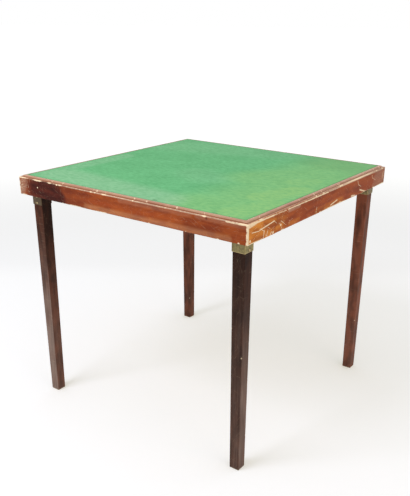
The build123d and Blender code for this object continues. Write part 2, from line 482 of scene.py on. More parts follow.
def skinned(
    tree: Tree,
    heights: tuple[tuple[Output, float], ...],
    relief: float,
    values: dict[str, object],
    strength: float = 0.5,
) -> Output:
    """Make the shader of a skin whose relief is the sum of some heights.

    Args:
        tree: the material's node tree.
        heights: the fields that make the relief, each with what it is multiplied by.
        relief: how high a height of one is.
        values: the shader's other inputs.
        strength: how strongly the relief turns the light.

    Returns:
        The shader.
    """
    height: Output | float = 0.0
    for layer, factor in heights:
        height = {0: layer, 1: factor, 2: height}
        height = add_node(tree, "Math", height, operation="MULTIPLY_ADD")
    bump = {"Height": height, "Distance": relief, "Strength": strength}
    return add_node(tree, "BsdfPrincipled", {**values, "Normal": add_node(tree, "Bump", bump)})


def patchy(
    tree: Tree, mark: str, noise: Output, least: float, most: float, capped: bool = True
) -> Output:
    """Read a painted field and make it uneven.

    Args:
        tree: the material's node tree.
        mark: the name of the field on the mesh.
        noise: a noise from 0 to 1.
        least: what the field is multiplied by where the noise is 0.
        most: what it is multiplied by where the noise is 1.
        capped: whether it stops at one.

    Returns:
        The uneven field.
    """
    painted = add_node(tree, "Attribute", attribute_name=mark, output="Fac")
    factor = add_node(tree, "MapRange", {"Value": noise, "To Min": least, "To Max": most})
    return add_node(tree, "Math", {0: painted, 1: factor}, operation="MULTIPLY", use_clamp=capped)


def ragged(tree: Tree, mark: str, noise: Output) -> Output:
    """Turn a painted field into ragged patches: it shows where it is more than a noise there.

    Args:
        tree: the material's node tree.
        mark: the name of the field on the mesh.
        noise: a noise from 0 to 1.

    Returns:
        The patches, as a share from 0 to 1.
    """
    painted = add_node(tree, "Attribute", attribute_name=mark, output="Fac")
    beyond = add_node(tree, "Math", {0: painted, 1: noise}, operation="SUBTRACT")
    span = {"Value": beyond, "From Min": -0.2, "From Max": 0.3}
    shown = add_node(tree, "MapRange", span, interpolation_type="SMOOTHSTEP")
    return add_node(tree, "Math", {0: shown, 1: painted}, operation="MULTIPLY")


def scratched(tree: Tree, place: Output, turns: tuple[float, ...]) -> Output:
    """Draw sparse fine scratches across a face: the crests of noises, each drawn out its own way.

    A real scratch is a few tenths of a millimetre wide; these are coarser, so that they show.

    Args:
        tree: the material's node tree.
        place: the vector that the noises read, its second axis into the wood.
        turns: the angles between the scratches and the grain.

    Returns:
        The scratches, as a share from 0 to 1.
    """
    seen: Output | float = 0.0
    scale = (1 / (26 * MM), 1 / (40 * MM), 1 / (1.5 * MM))
    for number, turn in enumerate(turns):
        turned = add_node(tree, "Mapping", {"Vector": place, "Rotation": (0.0, turn, 0.0)})
        drawn_out = add_node(tree, "Mapping", {"Vector": turned, "Scale": scale})
        noise = add_node(tree, "TexNoise", {"Vector": drawn_out, "Scale": 1.0, "Detail": 1.0})
        crest = SCRATCH_CREST + 0.01 * number
        span = {"Value": noise, "From Min": crest, "From Max": crest + 0.05}
        either = {0: seen, 1: add_node(tree, "MapRange", span)}
        seen = add_node(tree, "Math", either, operation="MAXIMUM")
    return seen


@dataclass(frozen=True)
class PolishedMahogany(Finish):
    """Mahogany, stained and French polished by hand, then worn for most of a century.

    The eye gets a warm red-brown with long streaks, a soft gloss that picks up the white room at
    a low angle, pale raw wood where edges and knocks have gone through the polish, near-black
    old spills, and orange where the stain has worn thin. The pale haze is also a painted sheen
    in places, the orange a painted light on some leg faces, and the spill colours a painted
    shade in the corner at the bead's foot.

    Attributes:
        dark: the colour of the late wood.
        body: the main colour.
        light: the colour of the lighter ribbons.
        thin: the colour where the stain has worn thin, also where a face is painted lighter for the
            light on it.
        haze: the colour of polish that has gone dull and greyish, also a painted sheen.
        raw: the bare wood's colour.
        stain: the colour of wood that an old spill has soaked, also of the painted shade in the
            corner at the bead's foot.
        spill: the colour of the spill itself, also of the darkest painted shade there.
        roughness: of the polish.
        specular: how strongly it mirrors, less than fresh varnish does.
        scratches: which ways the fine scratches run.
    """

    dark: str
    body: str
    light: str
    thin: str = "#c87a40"
    haze: str = "#7d6053"
    raw: str = "#ffe8c4"
    stain: str = "#53241f"
    spill: str = "#261113"
    roughness: float = 0.42
    specular: float = 0.2

    scratches: tuple[float, ...] = (-0.55, 0.35, 1.35)
    ribbons: Grain = Grain(240 * MM, 13 * MM, 0.16)
    figure: Grain = Grain(46 * MM, 15 * MM, 0.2, 3.0)
    streaks: Grain = Grain(70 * MM, 2.2 * MM, 0.24)
    pores: Grain = Grain(9 * MM, 0.9 * MM, 0.3, 0.0)
    flakes: Grain = Grain(5.2 * MM, 2.6 * MM, 0.3, 3.0)
    relief: float = 0.05 * MM

    def surface(self, tree: Tree) -> Output:
        """Lay the ribbons, streaks and pores over each other, then the marks of age.

        Args:
            tree: the material's node tree.

        Returns:
            The shader.
        """
        place = add_node(tree, "Attribute", attribute_name="grain", output="Vector")
        grains = (self.ribbons, self.figure, self.streaks, self.pores, self.flakes)
        ribbon, figure, streak, pore, flake = (grain.noise(tree, place) for grain in grains)
        lit = add_node(tree, "Math", {0: figure, 1: 0.7}, operation="MULTIPLY")
        dim = add_node(tree, "MapRange", {"Value": streak, "To Min": 0.4, "To Max": 0.0})
        span = {"Value": pore, "From Max": 0.3, "To Min": 0.3, "To Max": 0.0}
        filled = add_node(tree, "MapRange", span)

        # The thin stain also paints light on some leg faces.
        worn = patchy(tree, "thin", figure, 0.45, 1.2)
        # The pale haze is dull polish and, on the top faces, the top arris, the front board's left
        # end and the legs' lower faces, a painted sheen.
        dull = patchy(tree, "haze", streak, 0.55, 1.25)
        # The spill field also holds the painted shade in the corner at the bead's foot.
        soak_and_shade = patchy(tree, "spill", figure, 0.82, 1.12, capped=False)
        stained = add_node(tree, "MapRange", {"Value": soak_and_shade, "From Max": 0.95, "To Max": 0.9})
        span = {"Value": soak_and_shade, "From Min": 0.8, "From Max": 1.3, "To Max": 0.85}
        crusted = add_node(tree, "MapRange", span)
        scuffed = add_node(tree, "Attribute", attribute_name="scuffed", output="Fac")
        lines = {0: scratched(tree, place, self.scratches), 1: scuffed}
        lines = add_node(tree, "Math", lines, operation="MULTIPLY")
        bare = {0: ragged(tree, "bare", flake), 1: lines}
        bare = add_node(tree, "Math", bare, operation="MAXIMUM")
        wood = ((ribbon, self.body), (lit, self.light), (dim, self.dark), (filled, self.dark))
        age = ((worn, self.thin), (dull, self.haze), (stained, self.stain), (crusted, self.spill))

        gloss = add_node(tree, "MapRange", {"Value": bare, "To Min": self.roughness, "To Max": 0.8})
        gloss = add_node(tree, "Math", {0: dull, 1: 0.2, 2: gloss}, operation="MULTIPLY_ADD")
        values = {
            "Base Color": layered(tree, self.dark, *wood, *age, (bare, self.raw)),
            "Roughness": gloss,
            "IOR": 1.5,
            "Specular IOR Level": self.specular,
        }
        heights = ((streak, 1.0), (pore, 1.0), (bare, -3.0))
        return skinned(tree, heights, self.relief, values, strength=0.6)


@dataclass(frozen=True)
class WoolBaize(Finish):
    """Green baize: woven wool, felted and raised to a short nap, faded and rubbed by play.

    The eye gets a matt green that mottles over a few millimetres, paler where hands rubbed the
    nap off, yellower where the light has faded it, and a soft sheen at a low angle. The yellower
    colour also paints warm light on the right, the paler one light towards the front and left,
    and the dirt colour a painted shade along the edge.

    Attributes:
        deep: the colour between the tufts of nap.
        body: the main colour.
        faded: the colour where light has turned it, also a painted warm light.
        rubbed: the colour where the nap is rubbed down, also a painted light.
        soiled: the colour of dirt in the nap, also of the shade painted along its edge.
    """

    deep: str = "#54ab6d"
    body: str = "#70c687"
    faded: str = "#9acd78"
    rubbed: str = "#a3cfa8"
    soiled: str = "#3f7048"

    tufts: Grain = Grain(1.8 * MM, 1.8 * MM, 0.3, 3.0)
    mottles: Grain = Grain(14.4 * MM, 9 * MM, 0.28)
    clouds: Grain = Grain(70 * MM, 70 * MM, 0.25)
    nap_height: float = 0.25 * MM

    def surface(self, tree: Tree) -> Output:
        """Mottle the green at three sizes and lay the marks of use over it.

        Args:
            tree: the material's node tree.

        Returns:
            The shader.
        """
        place = add_node(tree, "TexCoord", output="Object")
        grains = (self.tufts, self.mottles, self.clouds)
        nap, mottle, cloud = (grain.noise(tree, place) for grain in grains)
        full = add_node(tree, "Math", {0: nap, 1: mottle}, operation="ADD")
        full = add_node(tree, "Math", {0: cloud, 1: 0.5, 2: full}, operation="MULTIPLY_ADD")
        full = add_node(tree, "MapRange", {"Value": full, "From Min": 0.45, "From Max": 2.05})
        marks = (("faded", self.faded), ("rubbed", self.rubbed), ("soiled", self.soiled))
        use = ((patchy(tree, mark, mottle, 0.7, 1.3), shade) for mark, shade in marks)
        values = {
            "Base Color": layered(tree, self.deep, (full, self.body), *use),
            "Roughness": 0.95,
            "Specular IOR Level": 0.1,
            "Sheen Weight": 0.1,
            "Sheen Roughness": 0.5,
        }
        return skinned(tree, ((nap, 1.0), (mottle, 1.0)), self.nap_height, values)


@dataclass(frozen=True)
class TarnishedBrass(Finish):
    """Folded brass sheet that has gone olive brown, rubbed brighter on its edges.

    The eye gets a dull metal, greenish and brown by turns, with a few pale specks of old polish.

    Attributes:
        metal: the colour of the rubbed metal.
        tarnish: the colour of the thin oxide.
        grime: the darker brown that its patches and a darkened socket go to.
    """

    metal: str = "#c9b07c"
    tarnish: str = "#988d5c"
    grime: str = "#5b4a34"

    patches: Grain = Grain(7 * MM, 7 * MM, 0.2, 3.0)
    specks: Grain = Grain(1.6 * MM, 1.6 * MM, 0.2)
    pitting: float = 0.06 * MM

    def surface(self, tree: Tree) -> Output:
        """Cloud the oxide over the metal, and let the rubbed edges through.

        Args:
            tree: the material's node tree.

        Returns:
            The shader.
        """
        place = add_node(tree, "TexCoord", output="Object")
        patch, speck = (grain.noise(tree, place) for grain in (self.patches, self.specks))
        darkening = add_node(tree, "Attribute", attribute_name="crusted", output="Fac")
        darkening = {0: patch, 1: 0.65, 2: darkening}
        darkening = add_node(tree, "Math", darkening, operation="MULTIPLY_ADD", use_clamp=True)
        rubbed = ragged(tree, "rubbed", speck)
        coats = ((darkening, self.grime), (rubbed, self.metal))
        values = {
            "Base Color": layered(tree, self.tarnish, *coats),
            "Metallic": add_node(tree, "MapRange", {"Value": rubbed, "To Min": 0.55}),
            "Roughness": add_node(tree, "MapRange", {"Value": rubbed, "To Min": 0.52, "To Max": 0.3}),
        }
        return skinned(tree, ((speck, 1.0), (patch, 1.0)), self.pitting, values)


@dataclass(frozen=True)
class PlainMetal(Finish):
    """A small metal fitting as it was made, with the dirt of its years in patches.

    Attributes:
        metal: the clean metal's colour.
        dirt: the colour of rust, oil or dust on it.
        dirt_share: how much of it the dirt covers.
        roughness: of the clean metal.
        grain_size: the size of the cast or rolled texture.
        relief: the height of that texture.
    """

    metal: str
    dirt: str
    dirt_share: float
    roughness: float
    grain_size: float
    relief: float = 0.04 * MM

    def surface(self, tree: Tree) -> Output:
        """Cloud dirt over the metal by the size of its texture.

        Args:
            tree: the material's node tree.

        Returns:
            The shader.
        """
        place = add_node(tree, "TexCoord", output="Object")
        patch = Grain(4 * self.grain_size, 4 * self.grain_size, 0.2, 3.0).noise(tree, place)
        fine = Grain(self.grain_size, self.grain_size, 0.3).noise(tree, place)
        dirty = add_node(tree, "MapRange", {"Value": patch, "To Max": 2 * self.dirt_share})
        dulled = {"Value": dirty, "To Min": self.roughness, "To Max": 0.8}
        values = {
            "Base Color": layered(tree, self.metal, (dirty, self.dirt)),
            "Metallic": add_node(tree, "MapRange", {"Value": dirty, "To Min": 1.0, "To Max": 0.2}),
            "Roughness": add_node(tree, "MapRange", dulled),
        }
        return skinned(tree, ((fine, 1.0),), self.relief, values)


@dataclass(frozen=True)
class UnfinishedWood(Finish):
    """Sawn or peeled wood that was never polished, browned by air and dust.

    The eye gets a dry, matt, straw-brown board with long soft streaks and greyer patches.

    Attributes:
        dark: the colour of the late wood.
        light: the colour of the early wood.
        dust: the colour of old dirt on it.
        across: whether the grain runs along Y instead of X.
    """

    dark: str
    light: str
    dust: str
    across: bool = False

    streaks: Grain = Grain(160 * MM, 5 * MM, 0.22, 3.0)
    fibres: Grain = Grain(14 * MM, 1.1 * MM, 0.3, 1.0)
    clouds: Grain = Grain(90 * MM, 90 * MM, 0.25)
    relief: float = 0.12 * MM

    def surface(self, tree: Tree) -> Output:
        """Streak the board along its grain and dirty it in broad patches.

        Args:
            tree: the material's node tree.

        Returns:
            The shader.
        """
        place = add_node(tree, "TexCoord", output="Object")
        turn = (0.0, 0.0, math.pi / 2 if self.across else 0.0)
        place = add_node(tree, "Mapping", {"Vector": place, "Rotation": turn})
        grains = (self.streaks, self.fibres, self.clouds)
        streak, fibre, cloud = (grain.noise(tree, place) for grain in grains)
        dirty = add_node(tree, "MapRange", {"Value": cloud, "To Min": 0.1, "To Max": 0.55})
        coats = ((streak, self.light), (dirty, self.dust))
        values = {"Base Color": layered(tree, self.dark, *coats), "Roughness": 0.78, "IOR": 1.5}
        return skinned(tree, ((fibre, 1.0), (streak, 1.0)), self.relief, values)


class Palette:
    """The finishes of this table, each used by one kind of piece."""

    apron = PolishedMahogany(
        "polished_mahogany",
        dark="#863d23",
        body="#a44c28",
        light="#bf612d",
        thin="#e08e3c",
        haze="#cdae97",
        specular=0.04,
    )
    # The bead's paler colours are its own tone and a painted light: its upturned round face gets the
    # lighter, pinker look of the light and sheen it catches.
    bead = PolishedMahogany(
        "polished_bead_mahogany",
        dark="#a8694f",
        body="#bf9070",
        light="#cfa584",
        roughness=0.36,
        specular=0.45,
    )
    leg = PolishedMahogany(
        "dark_polished_mahogany",
        dark="#20130f",
        body="#33201a",
        light="#412a20",
        thin="#8c4f38",
        haze="#8f7b71",
        specular=0.05,
    )
    baize = WoolBaize("wool_baize")
    socket = TarnishedBrass("tarnished_brass_sheet")
    plywood = UnfinishedWood("birch_plywood", "#96704a", "#b68f62", "#836a4e")
    gusset = UnfinishedWood("sawn_softwood", "#b08a55", "#d4b07a", "#94784f")
    batten = UnfinishedWood("sawn_softwood_batten", "#b08a55", "#d4b07a", "#94784f", across=True)
    rivet = PlainMetal("rubbed_brass", "#c9b184", "#6d5f42", 0.3, 0.34, 1.2 * MM)
    hanger = PlainMetal("cast_iron_lacquered", "#4b4640", "#3a2a20", 0.45, 0.5, 1.4 * MM, 0.12 * MM)
    spring = PlainMetal("blued_spring_steel", "#565b66", "#5b4334", 0.25, 0.34, 2.0 * MM)
    steel = PlainMetal("dulled_steel", "#8f8b84", "#5f4a3a", 0.3, 0.4, 0.9 * MM)


@dataclass
class Section:
    """The outline across a strip or a leg, with right-angled corners that wear can round.

    A point of the outline is its place on the sharp outline plus, for the corners on either side
    of it, each corner's radius times a direction. On a corner the point goes round a quarter
    circle: by 1 - sin t along the edge before it and 1 - cos t along the edge after it, with t
    from nothing to a quarter turn. Between corners it is shared out evenly.

    Attributes:
        corners: the sharp corners in order, two numbers each.
        run_points: how many points lie on the edge after each corner.
        arc_points: how many points lie on each corner.
    """

    corners: np.ndarray
    run_points: tuple[int, ...]
    arc_points: int = 6

    def __post_init__(self) -> None:
        """Work out each point's sharp place, its two corners and their directions."""
        count = len(self.corners)
        ahead = np.roll(self.corners, -1, axis=0) - self.corners
        ahead /= np.linalg.norm(ahead, axis=1, keepdims=True)
        behind = -np.roll(ahead, 1, axis=0)
        turn = np.linspace(0, math.pi / 2, self.arc_points)[:, None]
        still = np.zeros((self.arc_points, 2))
        rows = []
        for i in range(count):
            after = (i + 1) % count
            way = (1 - np.sin(turn)) * behind[i] + (1 - np.cos(turn)) * ahead[i]
            out = -(np.cos(turn) * ahead[i] + np.sin(turn) * behind[i])
            rows.append((self.corners[i] + still, i + 0 * turn, way, i + 0 * turn, still, out))
            share = np.linspace(0, 1, self.run_points[i] + 2)[1:-1, None]
            there = self.corners[i] * (1 - share) + self.corners[after] * share
            near, far = (1 - share) * ahead[i], share * behind[after]
            out = -behind[i] + 0 * share
            rows.append((there, i + 0 * share, near, after + 0 * share, far, out))
        self.place, first, self.first_way, second, self.second_way, self.outward = (
            np.concatenate(column) for column in zip(*rows)
        )
        self.first, self.second = first[:, 0].astype(int), second[:, 0].astype(int)

    def points(self, radii: np.ndarray, scale: np.ndarray | float = 1.0) -> np.ndarray:
        """Place the outline's points for each ring.

        Args:
            radii: the radius of each corner at each ring.
            scale: what the sharp outline is multiplied by at each ring.

        Returns:
            Places as rings by points by two numbers.
        """
        sharp = self.place[None] * np.reshape(scale, (-1, 1, 1))
        first = radii[:, self.first, None] * self.first_way
        second = radii[:, self.second, None] * self.second_way
        return sharp + first + second

    def beyond_corner(self, points: np.ndarray, radii: np.ndarray, corner: int) -> np.ndarray:
        """Give how far each point lies beyond one corner's rounding, across the strip.

        Args:
            points: the places that points() gave with a scale of one.
            radii: the radius of each corner at each ring.
            corner: the corner's number.

        Returns:
            A distance for each point, none on the rounding itself.
        """
        gap = np.linalg.norm(points - self.corners[corner], axis=-1)
        return np.maximum(gap - radii[:, corner, None], 0)


@dataclass(frozen=True)
class EdgeWear:
    """How one long edge has worn: rubbed round all along it, and chipped here and there.

    Attributes:
        radius: the rounding that it was made with.
        rubbing: how much rubbing has added to that at most.
        bare: how strongly raw wood shows on it, as a share.
        chips: how many chips it has.
        chip_width: how long a middling chip is.
        chip_depth: how much a middling chip adds to the rounding.
        spread: how far down the face the bare wood reaches at most.
        knocks: bigger worn places, in millimetres: where, how long and how much each adds.
    """

    radius: float
    rubbing: float = 0.0
    bare: float = 0.0
    chips: int = 0
    chip_width: float = 3 * MM
    chip_depth: float = 1.2 * MM
    spread: float = 1.8 * MM
    knocks: tuple[tuple[float, float, float], ...] = ()

    def along(self, place: np.ndarray, seed: int) -> tuple[np.ndarray, np.ndarray]:
        """Give the rounding and the share of bare wood at places along the edge.

        A chip or a knock adds a bell curve of its own depth and width to the rounding.

        Args:
            place: places along the edge.
            seed: what fixes this edge's wear.

        Returns:
            The radius and the bareness at each place.
        """
        draw = np.random.default_rng(seed)
        where = draw.uniform(place.min(), place.max(), self.chips)
        width = self.chip_width * draw.uniform(0.4, 1.8, self.chips)
        depth = self.chip_depth * draw.uniform(0.2, 1.3, self.chips)
        if self.knocks:
            knocks = np.transpose(self.knocks) * MM
            where, width, depth = np.concatenate([[where, width, depth], knocks], axis=1)
        bell = np.exp(-(((place[:, None] - where) / width) ** 2))
        chipped = (bell * depth).sum(axis=1)
        slow = ripple(place[:, None], 90 * MM, seed + 1)
        quick = ripple(place[:, None], 9 * MM, seed + 2)
        rubbed = 0.5 + 0.35 * slow + 0.25 * quick
        radius = self.radius + self.rubbing * np.clip(rubbed, 0, 1) + chipped
        bare = self.bare * (0.65 + 0.35 * rubbed) + bell.max(axis=1, initial=0) * 0.8
        return radius, np.clip(bare, 0, 1.2)


@dataclass(frozen=True)
class FaceMarks:
    """The spots on the outer face of one board, along it from the left and up from the floor.

    Attributes:
        bare: where the polish is knocked off.
        spill: old dark stains; the strip adds a painted shade in its crease to the same field.
        thin: where the stain has worn thin; on the legs the same field also paints light.
        haze: where the polish has gone dull, and where a sheen is painted.
        scuffed: where fine scratches cross it.
    """

    bare: tuple[Spot, ...] = ()
    spill: tuple[Spot, ...] = ()
    thin: tuple[Spot, ...] = ()
    haze: tuple[Spot, ...] = ()
    scuffed: tuple[Spot, ...] = ()

    def fields(self, along: np.ndarray, up: np.ndarray) -> dict[str, np.ndarray]:
        """Give each kind of mark its strongest spot's share at each place.

        Args:
            along: places along the face.
            up: heights on it.

        Returns:
            One field for each kind of mark.
        """
        kinds = ("bare", "spill", "thin", "haze", "scuffed")
        return {kind: strongest(getattr(self, kind), along, up) for kind in kinds}


@dataclass(frozen=True)
class BoardWear:
    """How one apron board has aged.

    Attributes:
        top: the wear of its upper outer edge.
        bottom: the wear of its lower outer edge.
        marks: the spots on its outer face.
        top_haze: how much haze colour its top face gets, at its left and right ends: dull polish, and
            a painted sheen.
    """

    top: EdgeWear
    bottom: EdgeWear
    marks: FaceMarks
    top_haze: tuple[float, float]


@dataclass
class MitredStrip:
    """A strip of one side of the top, mitred at both ends, in the front side's frame.

    A point lies at a depth inwards from the outer face and a height. Along the strip it goes from
    mitre to mitre: the outer face ends in an eighth of a circle at each end, which the next
    side's strip carries on, and deeper points end in a sharp mitre.

    Attributes:
        name: the name of the piece.
        side: which side of the top it is.
        half: from the middle of the table to its outer face.
        section: its outline as depth and height.
        edges: the wear of each of the section's corners.
        end_radius: the rounding of the upright corners.
        end_wear: what wear has added to that, for each corner of the table.
        marks: the spots on its outer face.
        crease: the depth at which a dark line runs along its top against the next strip, if it does:
            painted shade in that corner, with packed dirt.
        top_haze: how much haze colour its top face gets, at its left and right ends: dull polish, and
            on the boards a painted sheen.
        unpolished: the depth from which on its faces were never polished well, if any.
        columns: how many rings lie along it.
        end_columns: how many lie round half of each upright corner.
        end_blend: how far from a mitre its edges begin to run into the next strip's.
        end_share: the rounding of the edges at a mitre, as a share of the one they had when new.
        inside_haze: how dull the faces that were never polished well are.
        crease_dirt: how dark that line of painted shade and dirt is.
        grain_shift: how far each side's grain is moved on, so that no two boards are alike.
    """

    name: str
    side: Side
    half: float
    section: Section
    edges: tuple[EdgeWear, ...]
    end_radius: float
    end_wear: dict[Corner, float] = field(default_factory=dict)
    marks: FaceMarks = FaceMarks()
    crease: float | None = None
    top_haze: tuple[float, float] = (0.0, 0.0)
    unpolished: float | None = None
    columns: int = 600

    end_columns: int = 5
    end_blend: float = 14 * MM
    end_share: float = 1.25
    inside_haze: float = 0.85
    crease_dirt: float = 0.95
    grain_shift: float = 0.37

    def build(self) -> bpy.types.Object:
        """Carry the section from mitre to mitre and turn the strip to its side.

        Returns:
            The piece.
        """
        ends = np.ones(self.end_columns - 1)
        reach = np.concatenate([-ends, np.linspace(-1, 1, self.columns), ends])
        swing = np.linspace(0, math.pi / 4, self.end_columns)[1:]
        swing = np.concatenate([swing[::-1], np.zeros(self.columns), swing])
        radii, bareness = self._worn_edges(reach * self.half)
        outline = self.section.points(radii)
        depth, up = outline[..., 0], outline[..., 1]

        left, right = (self._end_growth(end, up) for end in (0, 1))
        grown = np.where(reach[:, None] < 0, left, right)
        rounding = self.end_radius + grown
        middle = self.half - np.maximum(rounding, depth)
        arc = np.maximum(rounding - depth, 0)
        along = reach[:, None] * middle + np.sign(reach)[:, None] * arc * np.sin(swing)[:, None]
        away = -(middle + arc * np.cos(swing)[:, None])
        rings = np.stack([along, away, up], axis=-1)

        fields = self.marks.fields(along, up)
        outer = 1 - step_up(depth, 0.5 * MM, 3 * MM)
        fields = {kind: values * outer for kind, values in fields.items()}
        for corner, share in bareness.items():
            beyond = self.section.beyond_corner(outline, radii, corner)
            reach_down = self.edges[corner].spread * (0.4 + 0.6 * np.clip(share, 0, 1))
            falloff = 1 - np.clip((beyond - 0.2 * MM) / reach_down[:, None], 0, 1)
            deepen(fields, "bare", share[:, None] * falloff)
        beyond = np.maximum(self.half - rounding - np.abs(along), 0)
        ends = np.clip(grown / (1.2 * MM), 0, 1) * (1 - step_up(beyond, 0.3 * MM, 3.5 * MM))
        deepen(fields, "bare", ends * outer)
        # On the top face the haze paints a paler, pinker sheen, with dull polish.
        on_top = up > up.max() - 0.5 * MM
        dull = np.interp(reach, (-1, 1), self.top_haze)[:, None]
        deepen(fields, "haze", dull * step_up(depth, 0.8 * MM, 2.5 * MM) * on_top)
        if self.unpolished is not None:
            inside = step_up(depth, self.unpolished - 0.5 * MM, self.unpolished)
            deepen(fields, "haze", self.inside_haze * inside)
        # A dark line on the top face against the bead: painted shade in that corner, with the dirt
        # packed there.
        if self.crease is not None:
            packed_shade_and_dirt = 1 - step_up(np.abs(depth - self.crease), 0.3 * MM, 1.6 * MM)
            deepen(fields, "spill", self.crease_dirt * packed_shade_and_dirt * on_top)
        shift = self.grain_shift * self.side.value
        fields["grain"] = np.stack([along + shift, away + shift, up], axis=-1)
        return Shell(self.name, quarter_turned(rings, self.side.value), fields).build()

    def _worn_edges(self, along: np.ndarray) -> tuple[np.ndarray, dict[int, np.ndarray]]:
        """Give every corner's rounding and bareness along the strip.

        Near a mitre both sides' roundings run into one value, so that they meet.

        Args:
            along: the places of the rings along the strip.

        Returns:
            The radii, ring by corner, and the bareness of each corner that has any.
        """
        radii, bareness = [], {}
        meet = step_up(np.abs(along), self.half - self.end_blend, self.half - 2 * MM)
        for number, edge in enumerate(self.edges):
            radius, bare = edge.along(along, 1000 * self.side.value + 10 * number + STRIP_SEED)
            radii.append(radius * (1 - meet) + self.end_share * edge.radius * meet)
            if edge.bare > 0:
                bareness[number] = bare
        return np.stack(radii, axis=-1), bareness

    def _end_growth(self, end: int, up: np.ndarray) -> np.ndarray:
        """Give what wear has added to one upright corner: a ripple of height alone.

        Args:
            end: 0 for the strip's left end and 1 for its right one.
            up: heights.

        Returns:
            The growth of the radius at each height.
        """
        corner = Corner((self.side.value + end) % len(Corner))
        uneven = 0.75 + 0.25 * ripple(up[..., None], 14 * MM, UPRIGHT_SEED + corner.value)
        return self.end_wear.get(corner, 0.0) * np.clip(uneven, 0, 1)


@dataclass
class Rim:
    """The mahogany frame of the top: four apron boards with a bead moulding on each.

    Attributes:
        wear: how each side's board has aged.
        corner_wear: what knocks have added to each upright corner's rounding.
        bead_haze: how dark and dull each side's bead has gone.
        corner_radius: the rounding of the frame's four upright corners.
        bead_round: the rounding of the beads' outer edge.
        bead_arris: the rounding of their inner edge.
    """

    wear: dict[Side, BoardWear]
    corner_wear: dict[Corner, float]
    bead_haze: dict[Side, float]
    corner_radius: float = 1.6 * MM
    bead_round: float = 3.2 * MM
    bead_arris: float = 0.5 * MM

    def build(self) -> list[str]:
        """Build and dress the boards and the beads.

        Returns:
            The names of the eight nodes that they stand for.
        """
        nodes = []
        for side in Side:
            for strip, kind, finish in (
                (self._board(side), "apron", Palette.apron),
                (self._bead(side), "bead", Palette.bead),
            ):
                node = f"{side.name.lower()}_{kind}"
                stand_in(strip.build(), "table_top", node, f"{kind}_mahogany", finish)
                nodes.append(node)
        return nodes

    def _board(self, side: Side) -> MitredStrip:
        """Lay out one apron board, with its rebate for the playing board.

        Args:
            side: which side it is on.

        Returns:
            The strip.
        """
        low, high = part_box("front_apron")
        inner_low, inner_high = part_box("front_bead")
        half, thickness = -low[1], high[1] - low[1]
        rebate, rebate_floor = half + inner_high[1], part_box("playing_board")[0][2]
        corners = np.array([
            (0, low[2]),
            (0, high[2]),
            (rebate, high[2]),
            (rebate, rebate_floor),
            (thickness, rebate_floor),
            (thickness, low[2]),
        ])
        wear = self.wear[side]
        edges = (
            wear.bottom,
            wear.top,
            EdgeWear(0.3 * MM),
            EdgeWear(0.0),
            EdgeWear(0.1 * MM),
            EdgeWear(0.5 * MM, 0.4 * MM, 0.2),
        )
        return MitredStrip(
            f"{side.name.lower()}_apron_board",
            side,
            half,
            Section(corners, (42, 14, 1, 2, 4, 8)),
            edges,
            self.corner_radius,
            self.corner_wear,
            wear.marks,
            crease=half + inner_low[1],
            top_haze=wear.top_haze,
            unpolished=thickness - 0.5 * MM,
        )

    def _bead(self, side: Side) -> MitredStrip:
        """Lay out one bead moulding, rounded over on its outer edge.

        Args:
            side: which side it is on.

        Returns:
            The strip.
        """
        low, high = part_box("front_bead")
        width = high[1] - low[1]
        corners = np.array([(0, low[2]), (0, high[2]), (width, high[2]), (width, low[2])])
        edges = (
            EdgeWear(0.1 * MM),
            EdgeWear(self.bead_round, 0.3 * MM, 0.1, 9, 2.0 * MM, 0.6 * MM),
            EdgeWear(self.bead_arris, 0.3 * MM, 0.35, 10, 2.0 * MM, 0.5 * MM),
            EdgeWear(0.1 * MM),
        )
        section = Section(corners, (2, 6, 4, 6), 9)
        return MitredStrip(
            f"{side.name.lower()}_bead_strip",
            side,
            -low[1],
            section,
            edges,
            0.3 * MM,
            top_haze=(self.bead_haze.get(side, 0.0),) * 2,
        )


def stand_in(
    piece: bpy.types.Object, body: str, node: str, slot: str, finish: Finish
) -> None:
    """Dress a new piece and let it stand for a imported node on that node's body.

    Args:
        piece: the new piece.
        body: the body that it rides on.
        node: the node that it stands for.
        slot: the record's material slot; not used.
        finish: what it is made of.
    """
    finish.dress(piece)
    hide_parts(node)
    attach(piece, body)


